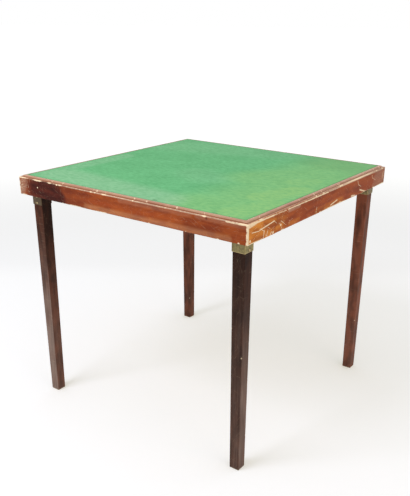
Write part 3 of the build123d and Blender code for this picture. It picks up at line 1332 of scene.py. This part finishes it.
@dataclass
class PlayingCloth:
    """The baize glued to the board: a closed sheet, rolled down a little at its edges.

    Attributes:
        faded: places in plan, all on the right, where light has yellowed it and where warm light is
            painted.
        rubbed: places where the nap is rubbed down; towards the front and left they are also a
            painted light.
        soiled: places with dirt in the nap; build() adds a painted shade along the edge.
        edge_roll: how far in from the edge the cloth rolls down.
        relief: how far the glued cloth rises and falls.
        columns: how many rings lie across it.
    """

    faded: tuple[Spot, ...]
    rubbed: tuple[Spot, ...]
    soiled: tuple[Spot, ...]
    edge_roll: float = 0.9 * MM
    relief: float = 0.12 * MM
    columns: int = 190

    def build(self) -> bpy.types.Object:
        """Lay the sheet in rings across the table: out over the top, back along the underside.

        The top's height is the sheet's less a quarter circle at each edge and a slow ripple.

        Returns:
            The piece.
        """
        low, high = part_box("baize")
        half = high[0]
        edge = np.array([0.0, 0.06, 0.2, 0.45, 1.0]) * self.edge_roll
        steps = np.concatenate([edge, np.linspace(self.edge_roll, half, self.columns // 2)[1:]])
        steps = np.concatenate([steps, 2 * half - steps[::-1][1:]]) - half
        across, away = np.meshgrid(steps, steps, indexing="ij")
        inset = half - np.maximum(np.abs(across), np.abs(away))
        drop = rolled(inset, self.edge_roll)
        flat = np.clip(inset / self.edge_roll, 0, 1)
        plan = np.stack([across, away], axis=-1)
        wave = self.relief * (0.5 + 0.5 * ripple(plan, 120 * MM, CLOTH_SEED)).clip(0, 1)
        top = np.maximum(high[2] - drop - wave * flat, low[2] + 0.15 * MM)
        over = np.stack([across, away, top], axis=-1)
        under = np.stack([across, away, np.full_like(top, low[2])], axis=-1)[:, ::-1]
        rings = np.concatenate([over, under], axis=1)

        kinds = ("faded", "rubbed", "soiled")
        marks = {kind: strongest(getattr(self, kind), across, away) for kind in kinds}
        # Darker towards the edge, against the bead: a painted shade, with some dirt in the nap.
        deepen(marks, "soiled", 0.4 * (1 - step_up(inset, 0.3 * MM, 2.2 * MM)))
        marks = {kind: np.concatenate([m, m[:, ::-1]], axis=1) for kind, m in marks.items()}
        cloth = Shell("baize_cloth", rings, marks).build()
        stand_in(cloth, "table_top", "baize", "baize", Palette.baize)
        return cloth


@dataclass(frozen=True)
class Haze:
    """The share of one face of a leg, by height: for haze, dull polish with a painted sheen; for thin
    stain, worn stain with painted light.

    Attributes:
        above: the share well above it.
        below: the share well below it.
        change: the height at which it changes over.
        spread: how far above and below that it takes to change.
    """

    above: float
    below: float
    change: float = 0.33
    spread: float = 0.3

    def at(self, up: np.ndarray) -> np.ndarray:
        """Give the share at each height."""
        rise = step_up(up, self.change - self.spread, self.change + self.spread)
        return self.below + (self.above - self.below) * rise


@dataclass
class Leg:
    """A leg: square in its socket, tapered below it on the two inner faces.

    Attributes:
        corner: where it stands.
        haze: how hazy each face is, by the side of the table that it faces: dull polish, with a
            painted sheen on the lower faces.
        thin: how far the stain has worn off each of those faces, which also paints light where a face
            is made lighter.
        nicks: how many nicks each edge has.
        elsewhere: the haze and thinness of the faces that those two don't name.
        arris: the rounding of its edges.
        foot: its width at the floor.
        foot_round: the rounding of its foot's edge.
        rings: how many rings lie along it.
        stubbed: how bare the end of its foot is.
        scuffed: how far fine scratches cross it.
        grain_shift: how far each leg's grain is moved on, so that no two legs are alike.
    """

    corner: Corner
    haze: dict[Side, Haze]
    thin: dict[Side, Haze] = field(default_factory=dict)
    nicks: int = 1
    elsewhere: dict[str, Haze] = field(
        default_factory=lambda: {"haze": Haze(0.02, 0.3), "thin": Haze(0.3, 0.4)}
    )
    arris: float = 1.2 * MM
    foot: float = 28.5 * MM
    foot_round: float = 1.6 * MM
    rings: int = 300
    stubbed: float = 0.45
    scuffed: float = 0.06
    grain_shift: float = 0.23

    def build(self) -> bpy.types.Object:
        """Carry the square section up the leg and turn it to its corner.

        The width runs straight from the foot's to the head's, which it reaches at the socket.

        Returns:
            The piece.
        """
        low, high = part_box("front_left_leg")
        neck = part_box("front_left_socket")[0][2]
        foot_steps = np.array([0.0, 0.1, 0.3, 0.6, 1.0]) * self.foot_round
        up = np.concatenate([foot_steps, np.linspace(self.foot_round, high[2], self.rings)[1:]])
        head = high[0] - low[0]
        width = self.foot + (head - self.foot) * np.clip(up / neck, 0, 1)

        section = Section(np.array([(0.0, 0.0), (1.0, 0.0), (1.0, 1.0), (0.0, 1.0)]), (12,) * 4)
        wear = EdgeWear(self.arris, 0.4 * MM, 0.12, self.nicks, 1.2 * MM, 0.5 * MM)
        worn = [wear.along(up, LEG_SEED + 10 * self.corner.value + edge) for edge in range(4)]
        radii = np.stack([radius for radius, _ in worn], axis=-1)
        plan = section.points(radii, width)
        plan = plan - rolled(up, self.foot_round)[:, None, None] * section.outward
        height = np.broadcast_to(up[:, None], plan.shape[:2])
        rings = np.stack([low[0] + plan[..., 0], low[1] + plan[..., 1], height], axis=-1)

        shift = self.grain_shift * (self.corner.value + 1)
        marks = {"grain": np.stack([height + shift, rings[..., 0] + shift, rings[..., 1]], -1)}
        flat = np.zeros(len(section.outward))
        outward = np.stack([section.outward[:, 0], section.outward[:, 1], flat], axis=-1)
        outward = quarter_turned(outward, self.corner.value)
        patchy = 1 + 0.35 * ripple(rings * (1, 1, 0.25), 30 * MM, FACE_SHARE_SEED + self.corner.value)
        # Face by face: haze with a painted sheen, and thin stain with painted light.
        for kind, tones in (("haze", self.haze), ("thin", self.thin)):
            share = np.zeros_like(height)
            for side in Side:
                tone = tones.get(side, self.elsewhere[kind])
                faces = outward @ facing(side)
                share = share + step_up(faces, 0.3, 0.95) * tone.at(height)
            marks[kind] = np.clip(share * patchy, 0, 1)
        bare = np.zeros_like(height)
        for edge, (radius, share) in enumerate(worn):
            gap = np.linalg.norm(plan - width[:, None, None] * section.corners[edge], axis=-1)
            beyond = np.maximum(gap - radius[:, None], 0)
            bare = np.maximum(bare, share[:, None] * (1 - step_up(beyond, 0.1 * MM, 1.4 * MM)))
        stubbed = self.stubbed * (1 - step_up(height, 1 * MM, 7 * MM))
        marks["bare"] = np.maximum(bare, stubbed)
        marks["scuffed"] = np.full_like(height, self.scuffed)

        name = self.corner.name.lower()
        leg = Shell(f"{name}_leg_post", quarter_turned(rings, self.corner.value), marks).build()
        stand_in(leg, f"{name}_leg_assembly", f"{name}_leg", "leg_mahogany", Palette.leg)
        return leg


def facing(side: Side) -> np.ndarray:
    """Give the direction in which a side of the table faces."""
    return quarter_turned(np.array([0.0, -1.0, 0.0]), side.value)


@dataclass
class Socket:
    """A brass socket: one sheet folded into a U round the leg's head, its free edges eased.

    Attributes:
        corner: where it is.
        darkened: how much darker and browner it is made all over, unevenly, with less of its rubbed
            edges showing.
        wall: the sheet's thickness.
        bend: the radius of its bends, on the outside.
        lip: the rounding of its free edges.
        web_rise: how far above the pivot the web ends.
        back_cam: the rounding of each cheek's top towards the web.
        front_cam: the same towards the open side.
        rings: how many rings lie along it.
    """

    corner: Corner
    crusted: float = 0.0
    wall: float = 2.0 * MM
    bend: float = 2.6 * MM
    lip: float = 0.55 * MM
    web_rise: float = 8.0 * MM
    back_cam: float = 8.0 * MM
    front_cam: float = 13.0 * MM
    rings: int = 56

    def build(self) -> bpy.types.Object:
        """Fold the sheet along its middle line and give it its thickness.

        The wall's half thickness shrinks by a quarter circle towards each free edge, and each
        height is a share of the way from the bottom edge to the cheek's or web's own top.

        Returns:
            The piece.
        """
        low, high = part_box("front_left_socket")
        path, normal, reach = self._fold(low, high)
        top = self._top(path, low, high)
        share = np.concatenate([[0, 0.0004, 0.002, 0.005], np.linspace(0.01, 0.985, self.rings)])
        share = np.concatenate([share, [0.991, 0.996, 0.999, 1.0]])[:, None]
        height = low[2] + share * (top - low[2])
        free = np.minimum(np.minimum(height - low[2], top - height), np.minimum(reach, reach[::-1]))
        half = self.wall / 2 - 0.999 * rolled(free, self.lip)
        outer = path[None] + half[..., None] * normal
        inner = path[None] - half[..., None] * normal
        around = np.concatenate([outer, inner[:, ::-1]], axis=1)
        rings = np.concatenate([around, np.concatenate([height, height[:, ::-1]], 1)[..., None]], -1)

        bent = np.abs(normal[:, 0] * normal[:, 1]) * 2
        edge = 1 - step_up(free, 0.3 * MM, 2.2 * MM)
        rubbed = np.clip(np.maximum(0.8 * edge, 0.55 * bent[None]) + 0.12, 0, 1)
        rubbed = rubbed * (1 - 0.7 * self.crusted)
        marks = {"rubbed": np.concatenate([rubbed, rubbed[:, ::-1]], axis=1)}
        uneven = 1 + 0.5 * ripple(rings, 12 * MM, DARKENING_SEED + self.corner.value)
        marks["crusted"] = self.crusted * uneven
        name = self.corner.name.lower()
        sheet = Shell(f"{name}_socket_sheet", quarter_turned(rings, self.corner.value), marks)
        piece = sheet.build(laddered=True)
        body, node = f"{name}_leg_assembly", f"{name}_socket"
        stand_in(piece, body, node, "tarnished_brass", Palette.socket)
        return piece

    def _fold(
        self, low: Place, high: Place
    ) -> tuple[np.ndarray, np.ndarray, np.ndarray]:
        """Lay out the sheet's middle line: along one cheek, round the web and back.

        Args:
            low: the socket's lowest corner.
            high: its highest corner.

        Returns:
            The line's points in plan, their outward normals, and how far along it each lies.
        """
        near, back = low[1] + self.wall / 2, low[0] + self.wall / 2
        far, radius = high[1] - self.wall / 2, self.bend - self.wall / 2
        eased = self.lip * np.array([0, 0.05, 0.15, 0.4, 1.0])
        cheek = np.concatenate([eased, np.linspace(self.lip, high[0] - back - radius, 26)[1:]])
        turn = np.linspace(0, math.pi / 2, 7)[1:-1]
        inside = near + self.wall / 2
        web = np.concatenate([
            [near + radius, inside - 0.01 * MM],
            np.linspace(inside, near + far - inside, 24),
            [near + far - inside + 0.01 * MM, far - radius],
        ])
        one = np.ones_like(cheek)
        first = np.stack([high[0] - cheek, near * one], axis=-1)
        arc = np.stack([np.sin(turn), np.cos(turn)], axis=-1)
        centre = np.array([back + radius, near + radius])
        straight = np.stack([np.full_like(web, back), web], axis=-1)
        last = np.stack([first[::-1, 0], far * one], axis=-1)
        path = np.concatenate([
            first,
            centre - radius * arc,
            straight,
            np.array([back + radius, far - radius]) + radius * arc[::-1] * (-1, 1),
            last,
        ])
        normal = np.concatenate([
            np.tile((0.0, -1.0), (len(cheek), 1)),
            -arc,
            np.tile((-1.0, 0.0), (len(web), 1)),
            arc[::-1] * (-1, 1),
            np.tile((0.0, 1.0), (len(cheek), 1)),
        ])
        steps = np.linalg.norm(np.diff(path, axis=0), axis=1)
        return path, normal, np.concatenate([[0], np.cumsum(steps)])

    def _top(
        self, path: np.ndarray, low: Place, high: Place
    ) -> np.ndarray:
        """Give the height of the sheet's top edge: a cam on each cheek, and lower on the web.

        Args:
            path: the middle line's points in plan.
            low: the socket's lowest corner.
            high: its highest corner.

        Returns:
            One height for each point.
        """
        along = path[:, 0]
        behind = np.clip(low[0] + self.back_cam - along, 0, self.back_cam)
        before = np.clip(along - high[0] + self.front_cam, 0, self.front_cam)
        cam = high[2] - self.back_cam + np.sqrt(self.back_cam**2 - behind**2)
        cam = np.minimum(cam, high[2] - self.front_cam + np.sqrt(self.front_cam**2 - before**2))
        half_open = (high[1] - low[1]) / 2 - self.wall
        on_web = np.abs(path[:, 1] - (low[1] + high[1]) / 2) <= half_open + 0.001 * MM
        on_web &= along < low[0] + self.wall
        pivot = high[2] - half_open
        return np.where(on_web, pivot + self.web_rise, cam)


@dataclass(frozen=True)
class Fitting:
    """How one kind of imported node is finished.

    Attributes:
        finish: what it is made of.
        slot: the record's material slot.
        ease: how far its sharp edges are eased.
    """

    finish: Finish
    slot: str
    ease: float


@dataclass
class Hardware:
    """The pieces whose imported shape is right: boards, castings, springs and fixings.

    Attributes:
        fittings: how each kind of node is finished, by the end of its name.
    """

    fittings: dict[str, Fitting]

    def build(self) -> list[str]:
        """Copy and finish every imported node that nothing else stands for.

        Returns:
            The names of those nodes.
        """
        finished = []
        for name, node in frame["nodes"].items():
            kind = next((kind for end, kind in self.fittings.items() if name.endswith(end)), None)
            if kind is not None:
                self._copy(name, node, kind)
                finished.append(name)
        return finished

    @staticmethod
    def _copy(name: str, node: bpy.types.Object, kind: Fitting) -> None:
        """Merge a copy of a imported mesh, join its flat triangles and ease its sharp edges.

        Args:
            name: the node's name.
            node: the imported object.
            kind: how it is finished.
        """
        mesh = node.data.copy()
        mesh.name = f"{name}_eased"
        weld(mesh, flatten=True)
        piece = linked(mesh.name, mesh)
        eased = piece.modifiers.new("eased_edges", "BEVEL")
        eased.width = kind.ease
        eased.segments = 2
        eased.limit_method = "ANGLE"
        eased.angle_limit = SHARP_ANGLE
        eased.harden_normals = True
        stand_in(piece, body_of(node)[0], name, kind.slot, kind.finish)


@dataclass(frozen=True)
class Lamp:
    """A square lamp that shines at the middle of the table.

    Attributes:
        name: the lamp's name.
        azimuth: which way it lies from the table, from -Y towards +X.
        elevation: how high it is.
        distance: how far it is.
        size: the length of its sides.
        share: what it adds on a face turned to it, as a share of full white.
        colour: of its light.
    """

    name: str
    azimuth: float
    elevation: float
    distance: float
    size: float
    share: float
    colour: str = "#ffffff"

    target: tuple[float, float, float] = (0.0, 0.0, 0.4)

    def hang(self) -> None:
        """Put the lamp in the scene, aimed and out of the camera's sight."""
        lamp = bpy.data.lights.new(self.name, "AREA")
        lamp.shape = "SQUARE"
        lamp.size = self.size
        lamp.energy = self.share * math.pi**2 * self.distance**2
        lamp.color = linear(self.colour)[:3]
        piece = linked(self.name, lamp)
        azimuth, elevation = math.radians(self.azimuth), math.radians(self.elevation)
        away = Vector((
            math.sin(azimuth) * math.cos(elevation),
            -math.cos(azimuth) * math.cos(elevation),
            math.sin(elevation),
        ))
        piece.matrix_world = Matrix.Translation(Vector(self.target) + self.distance * away) @ (
            away.to_track_quat("Z", "Y").to_matrix().to_4x4()
        )
        piece.visible_camera = False


@dataclass
class Studio:
    """The white room that the table stands in: floor, sky, lamps and camera.

    Attributes:
        lamps: what lights it besides the sky.
        place: where the camera is.
        azimuth: which way it lies from the table, from -Y towards +X.
        elevation: how high it looks down from.
        roll: how far it is turned about its own axis.
        lens: its focal length, for a 36 mm sensor.
        shift: how far its picture is moved, as shares of the longer side.
        sky: the light that the room itself gives, as a share of full white.
        floor_radius: how far the floor goes.
        floor_glow: how much of the floor's white the camera sees whatever the light.
        floor_body: how much of it comes from the light, and so shows the shadow.
        warm: the glow's tint, which is what a shadow leaves.
        cool: the tint of the lit part; the two together are white.
        band: a painted shade: from where to where behind the table its white falls, and to what
            share.
        distance: from where to where away from the table it rises, and by how much.
    """

    lamps: tuple[Lamp, ...]
    place: tuple[float, float, float] = (1.1312, -1.5571, 1.1041)
    azimuth: float = 35.54
    elevation: float = 23.41
    roll: float = 0.59
    lens: float = 48.26
    shift: tuple[float, float] = (-0.01754, 0.10665)
    sky: float = 0.65

    floor_radius: float = 60.0
    floor_glow: float = 0.39
    floor_body: float = 0.70
    warm: tuple[float, float, float, float] = (1.0, 0.975, 0.68, 1.0)
    cool: tuple[float, float, float] = (1.0, 1.025, 1.25)
    band: tuple[float, float, float] = (0.85, 1.1, 0.958)
    distance: tuple[float, float, float] = (1.8, 4.2, 0.28)

    def build(self) -> None:
        """Lay the floor, light the room and set up the camera."""
        self._floor()
        self._sky()
        for lamp in self.lamps:
            lamp.hang()
        self._camera()
        view = bpy.context.scene.view_settings
        view.view_transform = "Standard"

    def _floor(self) -> bpy.types.Object:
        """Lay a round floor under the feet.

        Returns:
            The floor.
        """
        turn = np.linspace(0, FULL_TURN, 97)[:-1]
        rim = self.floor_radius * np.stack([np.cos(turn), np.sin(turn), 0 * turn], axis=-1)
        mesh = bpy.data.meshes.new("studio_floor")
        mesh.from_pydata(rim.tolist(), [], [list(range(len(rim)))])
        material = bpy.data.materials.new("studio_floor_paint")
        feed(material, self._paint)
        mesh.materials.append(material)
        return linked("studio_floor", mesh)

    def _paint(self, tree: Tree) -> Output:
        """Paint the floor white, with a painted shade: greyer in a band behind the table.

        What the camera and reflections see is mostly a glow with a little of the floor's own
        colour, so that the table's shadow stays faint. Every other ray sees plain white paint.

        Args:
            tree: the material's node tree.

        Returns:
            The shader.
        """
        azimuth = math.radians(self.azimuth)
        place = add_node(tree, "TexCoord", output="Object")
        ahead = (-math.sin(azimuth), math.cos(azimuth), 0.0)
        behind = add_node(
            tree, "VectorMath", {0: place, 1: ahead}, output="Value", operation="DOT_PRODUCT"
        )
        # A painted shade: the floor greys in a band behind the table.
        near, far, grey = self.band
        fall = {"Value": behind, "From Min": near, "From Max": far, "To Min": 1.0, "To Max": grey}
        fall = add_node(tree, "MapRange", fall, interpolation_type="SMOOTHSTEP")
        away = add_node(tree, "VectorMath", {0: place}, output="Value", operation="LENGTH")
        near, far, more = self.distance
        rise = {"Value": away, "From Min": near, "From Max": far, "To Max": more}
        rise = add_node(tree, "MapRange", rise, interpolation_type="SMOOTHSTEP")
        white = add_node(tree, "Math", {0: fall, 1: rise}, operation="ADD")
        glow = add_node(tree, "Math", {0: white, 1: self.floor_glow}, operation="MULTIPLY")
        body = add_node(tree, "Math", {0: white, 1: self.floor_body}, operation="MULTIPLY")
        glow = add_node(tree, "Emission", {"Color": self.warm, "Strength": glow})
        body = add_node(tree, "VectorMath", {0: self.cool, "Scale": body}, operation="SCALE")
        body = add_node(tree, "BsdfDiffuse", {"Color": body})
        seen = add_node(tree, "AddShader", {0: glow, 1: body})
        paint = add_node(tree, "BsdfDiffuse", {"Color": (0.8, 0.8, 0.8, 1.0)})
        return add_node(tree, "MixShader", {0: seen_directly(tree), 1: paint, 2: seen})

    def _sky(self) -> None:
        """Make the sky plain white to look at, and a softer light for the rest."""
        world = bpy.data.worlds.new("white_room")
        feed(world, self._light)
        bpy.context.scene.world = world

    def _light(self, tree: Tree) -> Output:
        """Build the sky's nodes.

        Args:
            tree: the world's node tree.

        Returns:
            The light.
        """
        strength = add_node(tree, "MapRange", {"Value": seen_directly(tree), "To Min": self.sky})
        return add_node(tree, "Background", {"Color": WHITE, "Strength": strength})

    def _camera(self) -> None:
        """Set the camera at the photograph's viewing angle."""
        camera = bpy.data.cameras.new("photograph_camera")
        camera.lens = self.lens
        camera.shift_x, camera.shift_y = self.shift
        camera.dof.use_dof = False
        piece = linked("photograph_camera", camera)
        azimuth, elevation = math.radians(self.azimuth), math.radians(self.elevation)
        turn = (
            Matrix.Rotation(azimuth, 4, "Z")
            @ Matrix.Rotation(math.pi / 2 - elevation, 4, "X")
            @ Matrix.Rotation(math.radians(self.roll), 4, "Z")
        )
        piece.matrix_world = Matrix.Translation(Vector(self.place)) @ turn
        bpy.context.scene.camera = piece


def seen_directly(tree: Tree) -> Output:
    """Tell camera, mirror and see-through rays, as one, from all others.

    Args:
        tree: the material's or the world's node tree.

    Returns:
        One for those rays and none for the rest.
    """
    rays = [
        add_node(tree, "LightPath", output=f"Is {kind} Ray")
        for kind in ("Camera", "Glossy", "Transmission")
    ]
    either = add_node(tree, "Math", {0: rays[0], 1: rays[1]}, operation="MAXIMUM")
    return add_node(tree, "Math", {0: either, 1: rays[2]}, operation="MAXIMUM")


FRONT_MARKS = FaceMarks(
    bare=spots(
        (-305.9, 660.5, 3.0, 1.5), (-227.6, 680.2, 4.5, 1.3), (357.0, 634.0, 4.0, 1.1),
        (-372, 650, -368, 668, 2.4, 0.55), (-361, 655, -352, 663, 2.6, 0.4),
        (-381, 640, -379, 678, 3.0, 0.6), (379, 634, 380, 681, 2.2, 0.9),
        (322, 679.0, 379, 678.6, 2.6, 0.85),
    ),
    spill=spots(
        (-310, 656, -245, 656, 64, 0.9), (-292, 673, -245, 671, 22, 1.1),
        (-318, 656, -246, 652, 30, 1.06), (-258, 646, -222, 640, 44, 1.06),
        (-240, 655, -205, 656, 66, 0.45), (-215, 655, -145, 650, 50, 0.3),
        (-381, 650, -350, 655, 50, 0.2), (230, 655, 381, 655, 60, 0.14), (268, 676, 5.0, 0.7),
    ),
    # The pale haze at the left end and along the top arris is a painted sheen, with dull polish.
    haze=spots(
        (-378, 640, -362, 670, 24, 0.46), (-120, 637, 330, 638, 13, 0.16),
        (240, 677, 372, 676, 9, 0.16), (0, 675, 220, 677, 10, 0.12),
        (-330, 680.8, 375, 680.6, 2.4, 0.95),
    ),
    thin=spots(
        (-120, 640, 90, 638, 12, 0.2), (100, 640, 330, 640, 13, 0.24),
    ),
    scuffed=spots((-381, 655, -350, 660, 34, 0.7), (-381, 655, 381, 655, 60, 0.1)),
)
RIGHT_MARKS = FaceMarks(
    bare=spots(
        (-379, 632, -378.5, 681, 3.6, 1.2), (-378, 678.4, -270, 678.6, 3.0, 1.1),
        (-270, 678.6, -215, 678.6, 2.8, 0.75), (-205, 678.4, -130, 678.4, 2.6, 0.95),
        (-125, 678.4, 4, 678.4, 2.8, 1.0), (20, 678.6, 130, 678.6, 2.5, 0.5),
        (-374, 678, -346, 681, 10, 0.9), (-371, 641, 5.0, 1.2),
        (-332, 657.5, -268, 664.5, 2.0, 1.5), (-364, 659, -334, 656, 1.6, 1.0),
        (-316, 634, -312, 652, 1.8, 1.1), (-301, 636, -297, 650, 1.6, 1.0),
        (-285, 634, -280, 641, 2.4, 1.0), (-272.7, 637.5, 4.5, 1.5), (-238, 647.5, 4.2, 1.3),
        (-236, 634, -233, 643, 1.6, 0.8), (-60, 636, -57, 652, 1.6, 0.9),
        (22, 639.6, 60, 646, 2.2, 1.4), (79, 635.0, 5.0, 1.1), (155.6, 634.0, 5.0, 1.2),
        (150, 638, 172, 636, 3.0, 0.9), (-22, 633, 10, 633, 3.0, 0.9),
        (186, 674, 192, 662, 1.8, 0.8), (192, 662, 211, 654, 1.8, 0.8),
        (205, 645, 240, 634, 3.4, 0.9), (284, 674, 288, 664, 2.0, 0.7),
        (288, 664, 312, 655, 2.0, 0.7), (364, 650, 368, 668, 2.4, 0.9),
    ),
    thin=spots(
        (-381, 655, -352, 655, 60, 1.0), (-345, 646, -290, 640, 16, 0.75),
        (-330, 660, -250, 648, 60, 0.35), (-306, 671, -262, 666, 10, 0.5), (-284.6, 647, 12, 0.7),
        (-257, 646, -232, 648, 9, 0.8), (-200, 640, -150, 640, 9, 0.35),
        (-60, 640, 90, 642, 12, 0.3),
    ),
    # The pale haze along the top arris is a painted sheen, with dull polish.
    haze=spots(
        (335, 655, 385, 660, 50, 0.32), (-200, 675, -150, 676, 8, 0.42),
        (10, 679.4, 376, 679.2, 3.0, 1.0), (300, 640, 381, 637, 12, 0.3),
    ),
    spill=spots(
        (-110, 668, 130, 668, 10, 0.1), (190, 660, 300, 655, 40, 0.12),
        (330, 650, 381, 650, 50, 0.16),
    ),
    scuffed=spots((-375, 655, -210, 655, 34, 1.0), (-381, 655, 381, 655, 60, 0.2)),
)
REAR_MARKS = FaceMarks(
    bare=spots((-214, 652, 3.0, 1.2), (88, 640, 120, 648, 1.6, 1.0), (301, 634, 4.5, 1.1)),
    spill=spots((150, 676, 230, 677, 12, 0.5)),
    haze=spots((-370, 655, -300, 655, 40, 0.3)),
    thin=spots((-200, 642, 60, 640, 14, 0.35), (330, 655, 381, 655, 40, 0.5)),
    scuffed=spots((-381, 655, 381, 655, 60, 0.3)),
)
LEFT_MARKS = FaceMarks(
    bare=spots((-120, 661, 2.6, 1.2), (196, 650, 214, 662, 1.6, 1.0), (-318, 635, 4.5, 1.1)),
    spill=spots((-40, 674, 20, 676, 12, 0.45), (330, 650, 360, 655, 24, 0.4)),
    haze=spots((-381, 655, -330, 655, 40, 0.35)),
    thin=spots((-260, 641, -60, 642, 14, 0.3), (120, 642, 280, 640, 12, 0.35)),
    scuffed=spots((-381, 655, 381, 655, 60, 0.3)),
)

BOARD_ARRIS = 1.3 * MM
RUBBED_TOP = EdgeWear(BOARD_ARRIS, 0.6 * MM, 0.6, 10, 4.0 * MM, 0.6 * MM)
RUBBED_BOTTOM = EdgeWear(BOARD_ARRIS, 0.5 * MM, 0.3, 9, 3.0 * MM, 0.8 * MM)
BOARDS = {
    Side.FRONT: BoardWear(
        EdgeWear(
            BOARD_ARRIS, 0.6 * MM, 0.55, 7, 4.0 * MM, 0.5 * MM, 1.5 * MM,
            ((381, 20, 0.5), (-381, 30, 0.6), (-305, 16, 0.2)),
        ),
        EdgeWear(
            BOARD_ARRIS, 0.4 * MM, 0.16, 4, 3.0 * MM, 0.6 * MM, 1.4 * MM,
            ((-165, 40, 0.4), (-60, 30, 0.3), (-365, 12, 0.6)),
        ),
        FRONT_MARKS,
        (0.22, 0.22),
    ),
    Side.RIGHT: BoardWear(
        EdgeWear(
            BOARD_ARRIS, 0.9 * MM, 0.5, 8, 4.0 * MM, 0.6 * MM, 1.5 * MM,
            ((190, 80, 0.3),),
        ),
        EdgeWear(
            BOARD_ARRIS, 0.6 * MM, 0.6, 7, 3.0 * MM, 0.6 * MM, 2.0 * MM,
            ((-370, 30, 0.8), (50, 60, 0.6), (370, 30, 1)),
        ),
        RIGHT_MARKS,
        (0.6, 1.0),
    ),
    Side.REAR: BoardWear(RUBBED_TOP, RUBBED_BOTTOM, REAR_MARKS, (0.3, 0.3)),
    Side.LEFT: BoardWear(RUBBED_TOP, RUBBED_BOTTOM, LEFT_MARKS, (0.25, 0.25)),
}

CLOTH = PlayingCloth(
    # The yellower places on the right are faded baize and a painted warm light.
    faded=spots(
        (330, -340, 340, 340, 260, 0.38), (220, -300, 340, -340, 150, 0.36),
        (180, 0, 340, 250, 140, 0.35), (290, -170, 325, -60, 80, 0.6),
        (280, 20, 300, 50, 70, 0.5), (310, -330, 345, -220, 80, 0.55),
    ),
    # The paler places towards the front and left are rubbed nap and a painted light.
    rubbed=spots(
        (73.2, -319.2, 3.0, 1.0), (-300, -300, 100, -340, 90, 0.4),
        (-330, -250, -330, 0, 40, 0.25), (0, -60, 60, -90, 90, 0.12),
        (-340, 240, 20, 340, 140, 0.14),
    ),
    soiled=spots(
        (92, -357, 99, -356.5, 5.0, 0.7), (273, -361, 282, -360.5, 5.0, 0.6),
        (-361, -361, 7.0, 0.7), (361, 361, 7.0, 0.6), (220, 330, 350, 300, 130, 0.15),
    ),
)

# Each face's shares were matched to how light or dark it looks, so they hold painted light: the lower
# faces' haze is partly a painted sheen, and the rear right leg's front face is made lighter, with
# thin stain, where the table top shades it.
LEGS = (
    Leg(
        Corner.FRONT_LEFT,
        haze={Side.FRONT: Haze(0.0, 1.0, 0.34, 0.24), Side.RIGHT: Haze(0.0, 0.26, 0.36, 0.2)},
        thin={Side.FRONT: Haze(0.22, 0.42), Side.RIGHT: Haze(0.0, 0.5, 0.42, 0.2)},
    ),
    Leg(
        Corner.FRONT_RIGHT,
        haze={Side.FRONT: Haze(0.0, 0.2, 0.38, 0.3), Side.RIGHT: Haze(0.0, 0.6, 0.36, 0.18)},
        thin={Side.FRONT: Haze(0.0, 0.12), Side.RIGHT: Haze(0.05, 0.26)},
        nicks=2,
    ),
    Leg(
        Corner.REAR_RIGHT,
        haze={Side.FRONT: Haze(0.05, 0.24), Side.RIGHT: Haze(0.0, 0.12, 0.45, 0.15)},
        thin={Side.FRONT: Haze(1.0, 1.1, 0.5, 0.1), Side.RIGHT: Haze(0.68, 0.85)},
    ),
    Leg(
        Corner.REAR_LEFT,
        haze={Side.FRONT: Haze(0.0, 0.1), Side.RIGHT: Haze(0.05, 0.12)},
        thin={Side.FRONT: Haze(0.62, 0.52), Side.RIGHT: Haze(0.55, 0.55)},
    ),
)

# How much darker and browner each socket is made; the front left one most.
DARKENED_SOCKETS = {Corner.FRONT_LEFT: 1.1, Corner.REAR_RIGHT: 0.3, Corner.REAR_LEFT: 0.3}

HARDWARE = Hardware({
    "playing_board": Fitting(Palette.plywood, "plywood", 0.2 * MM),
    "gusset": Fitting(Palette.gusset, "softwood", 0.8 * MM),
    "batten": Fitting(Palette.batten, "softwood", 0.8 * MM),
    "corner_splines": Fitting(Palette.gusset, "softwood", 0.1 * MM),
    "batten_screws": Fitting(Palette.steel, "steel_fixings", 0.15 * MM),
    "hanger_screws": Fitting(Palette.steel, "steel_fixings", 0.15 * MM),
    "hinge_hanger": Fitting(Palette.hanger, "cast_hanger", 0.5 * MM),
    "leaf_spring": Fitting(Palette.spring, "spring_steel", 0.2 * MM),
    "spring_rivets": Fitting(Palette.steel, "steel_fixings", 0.1 * MM),
    "socket_rivets": Fitting(Palette.rivet, "tarnished_brass", 0.1 * MM),
    "pivot_pin": Fitting(Palette.steel, "steel_fixings", 0.15 * MM),
    "pivot_washers": Fitting(Palette.steel, "steel_fixings", 0.1 * MM),
})

STUDIO = Studio((
    Lamp("key", azimuth=-18, elevation=47, distance=3.0, size=1.2, share=0.35),
    Lamp("fill", azimuth=80, elevation=20, distance=3.5, size=2.0, share=0.12, colour="#ffe9c8"),
))


def main() -> None:
    """Set up the room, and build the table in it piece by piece."""
    logging.basicConfig(level=logging.INFO, format="%(name)s: %(message)s")
    STUDIO.build()
    rim = Rim(
        BOARDS,
        {
            Corner.FRONT_LEFT: 1.2 * MM,
            Corner.FRONT_RIGHT: 1.4 * MM,
            Corner.REAR_RIGHT: 0.3 * MM,
            Corner.REAR_LEFT: 0.8 * MM,
        },
        {Side.REAR: 0.9, Side.LEFT: 0.75},
    )
    log.info("rim: %s", ", ".join(rim.build()))
    log.info("cloth: %s", CLOTH.build().name)
    for leg in LEGS:
        log.info("leg: %s", leg.build().name)
    for corner in Corner:
        log.info("socket: %s", Socket(corner, DARKENED_SOCKETS.get(corner, 0.0)).build().name)
    log.info("fittings: %s", ", ".join(HARDWARE.build()))


if __name__ == "__main__":
    main()
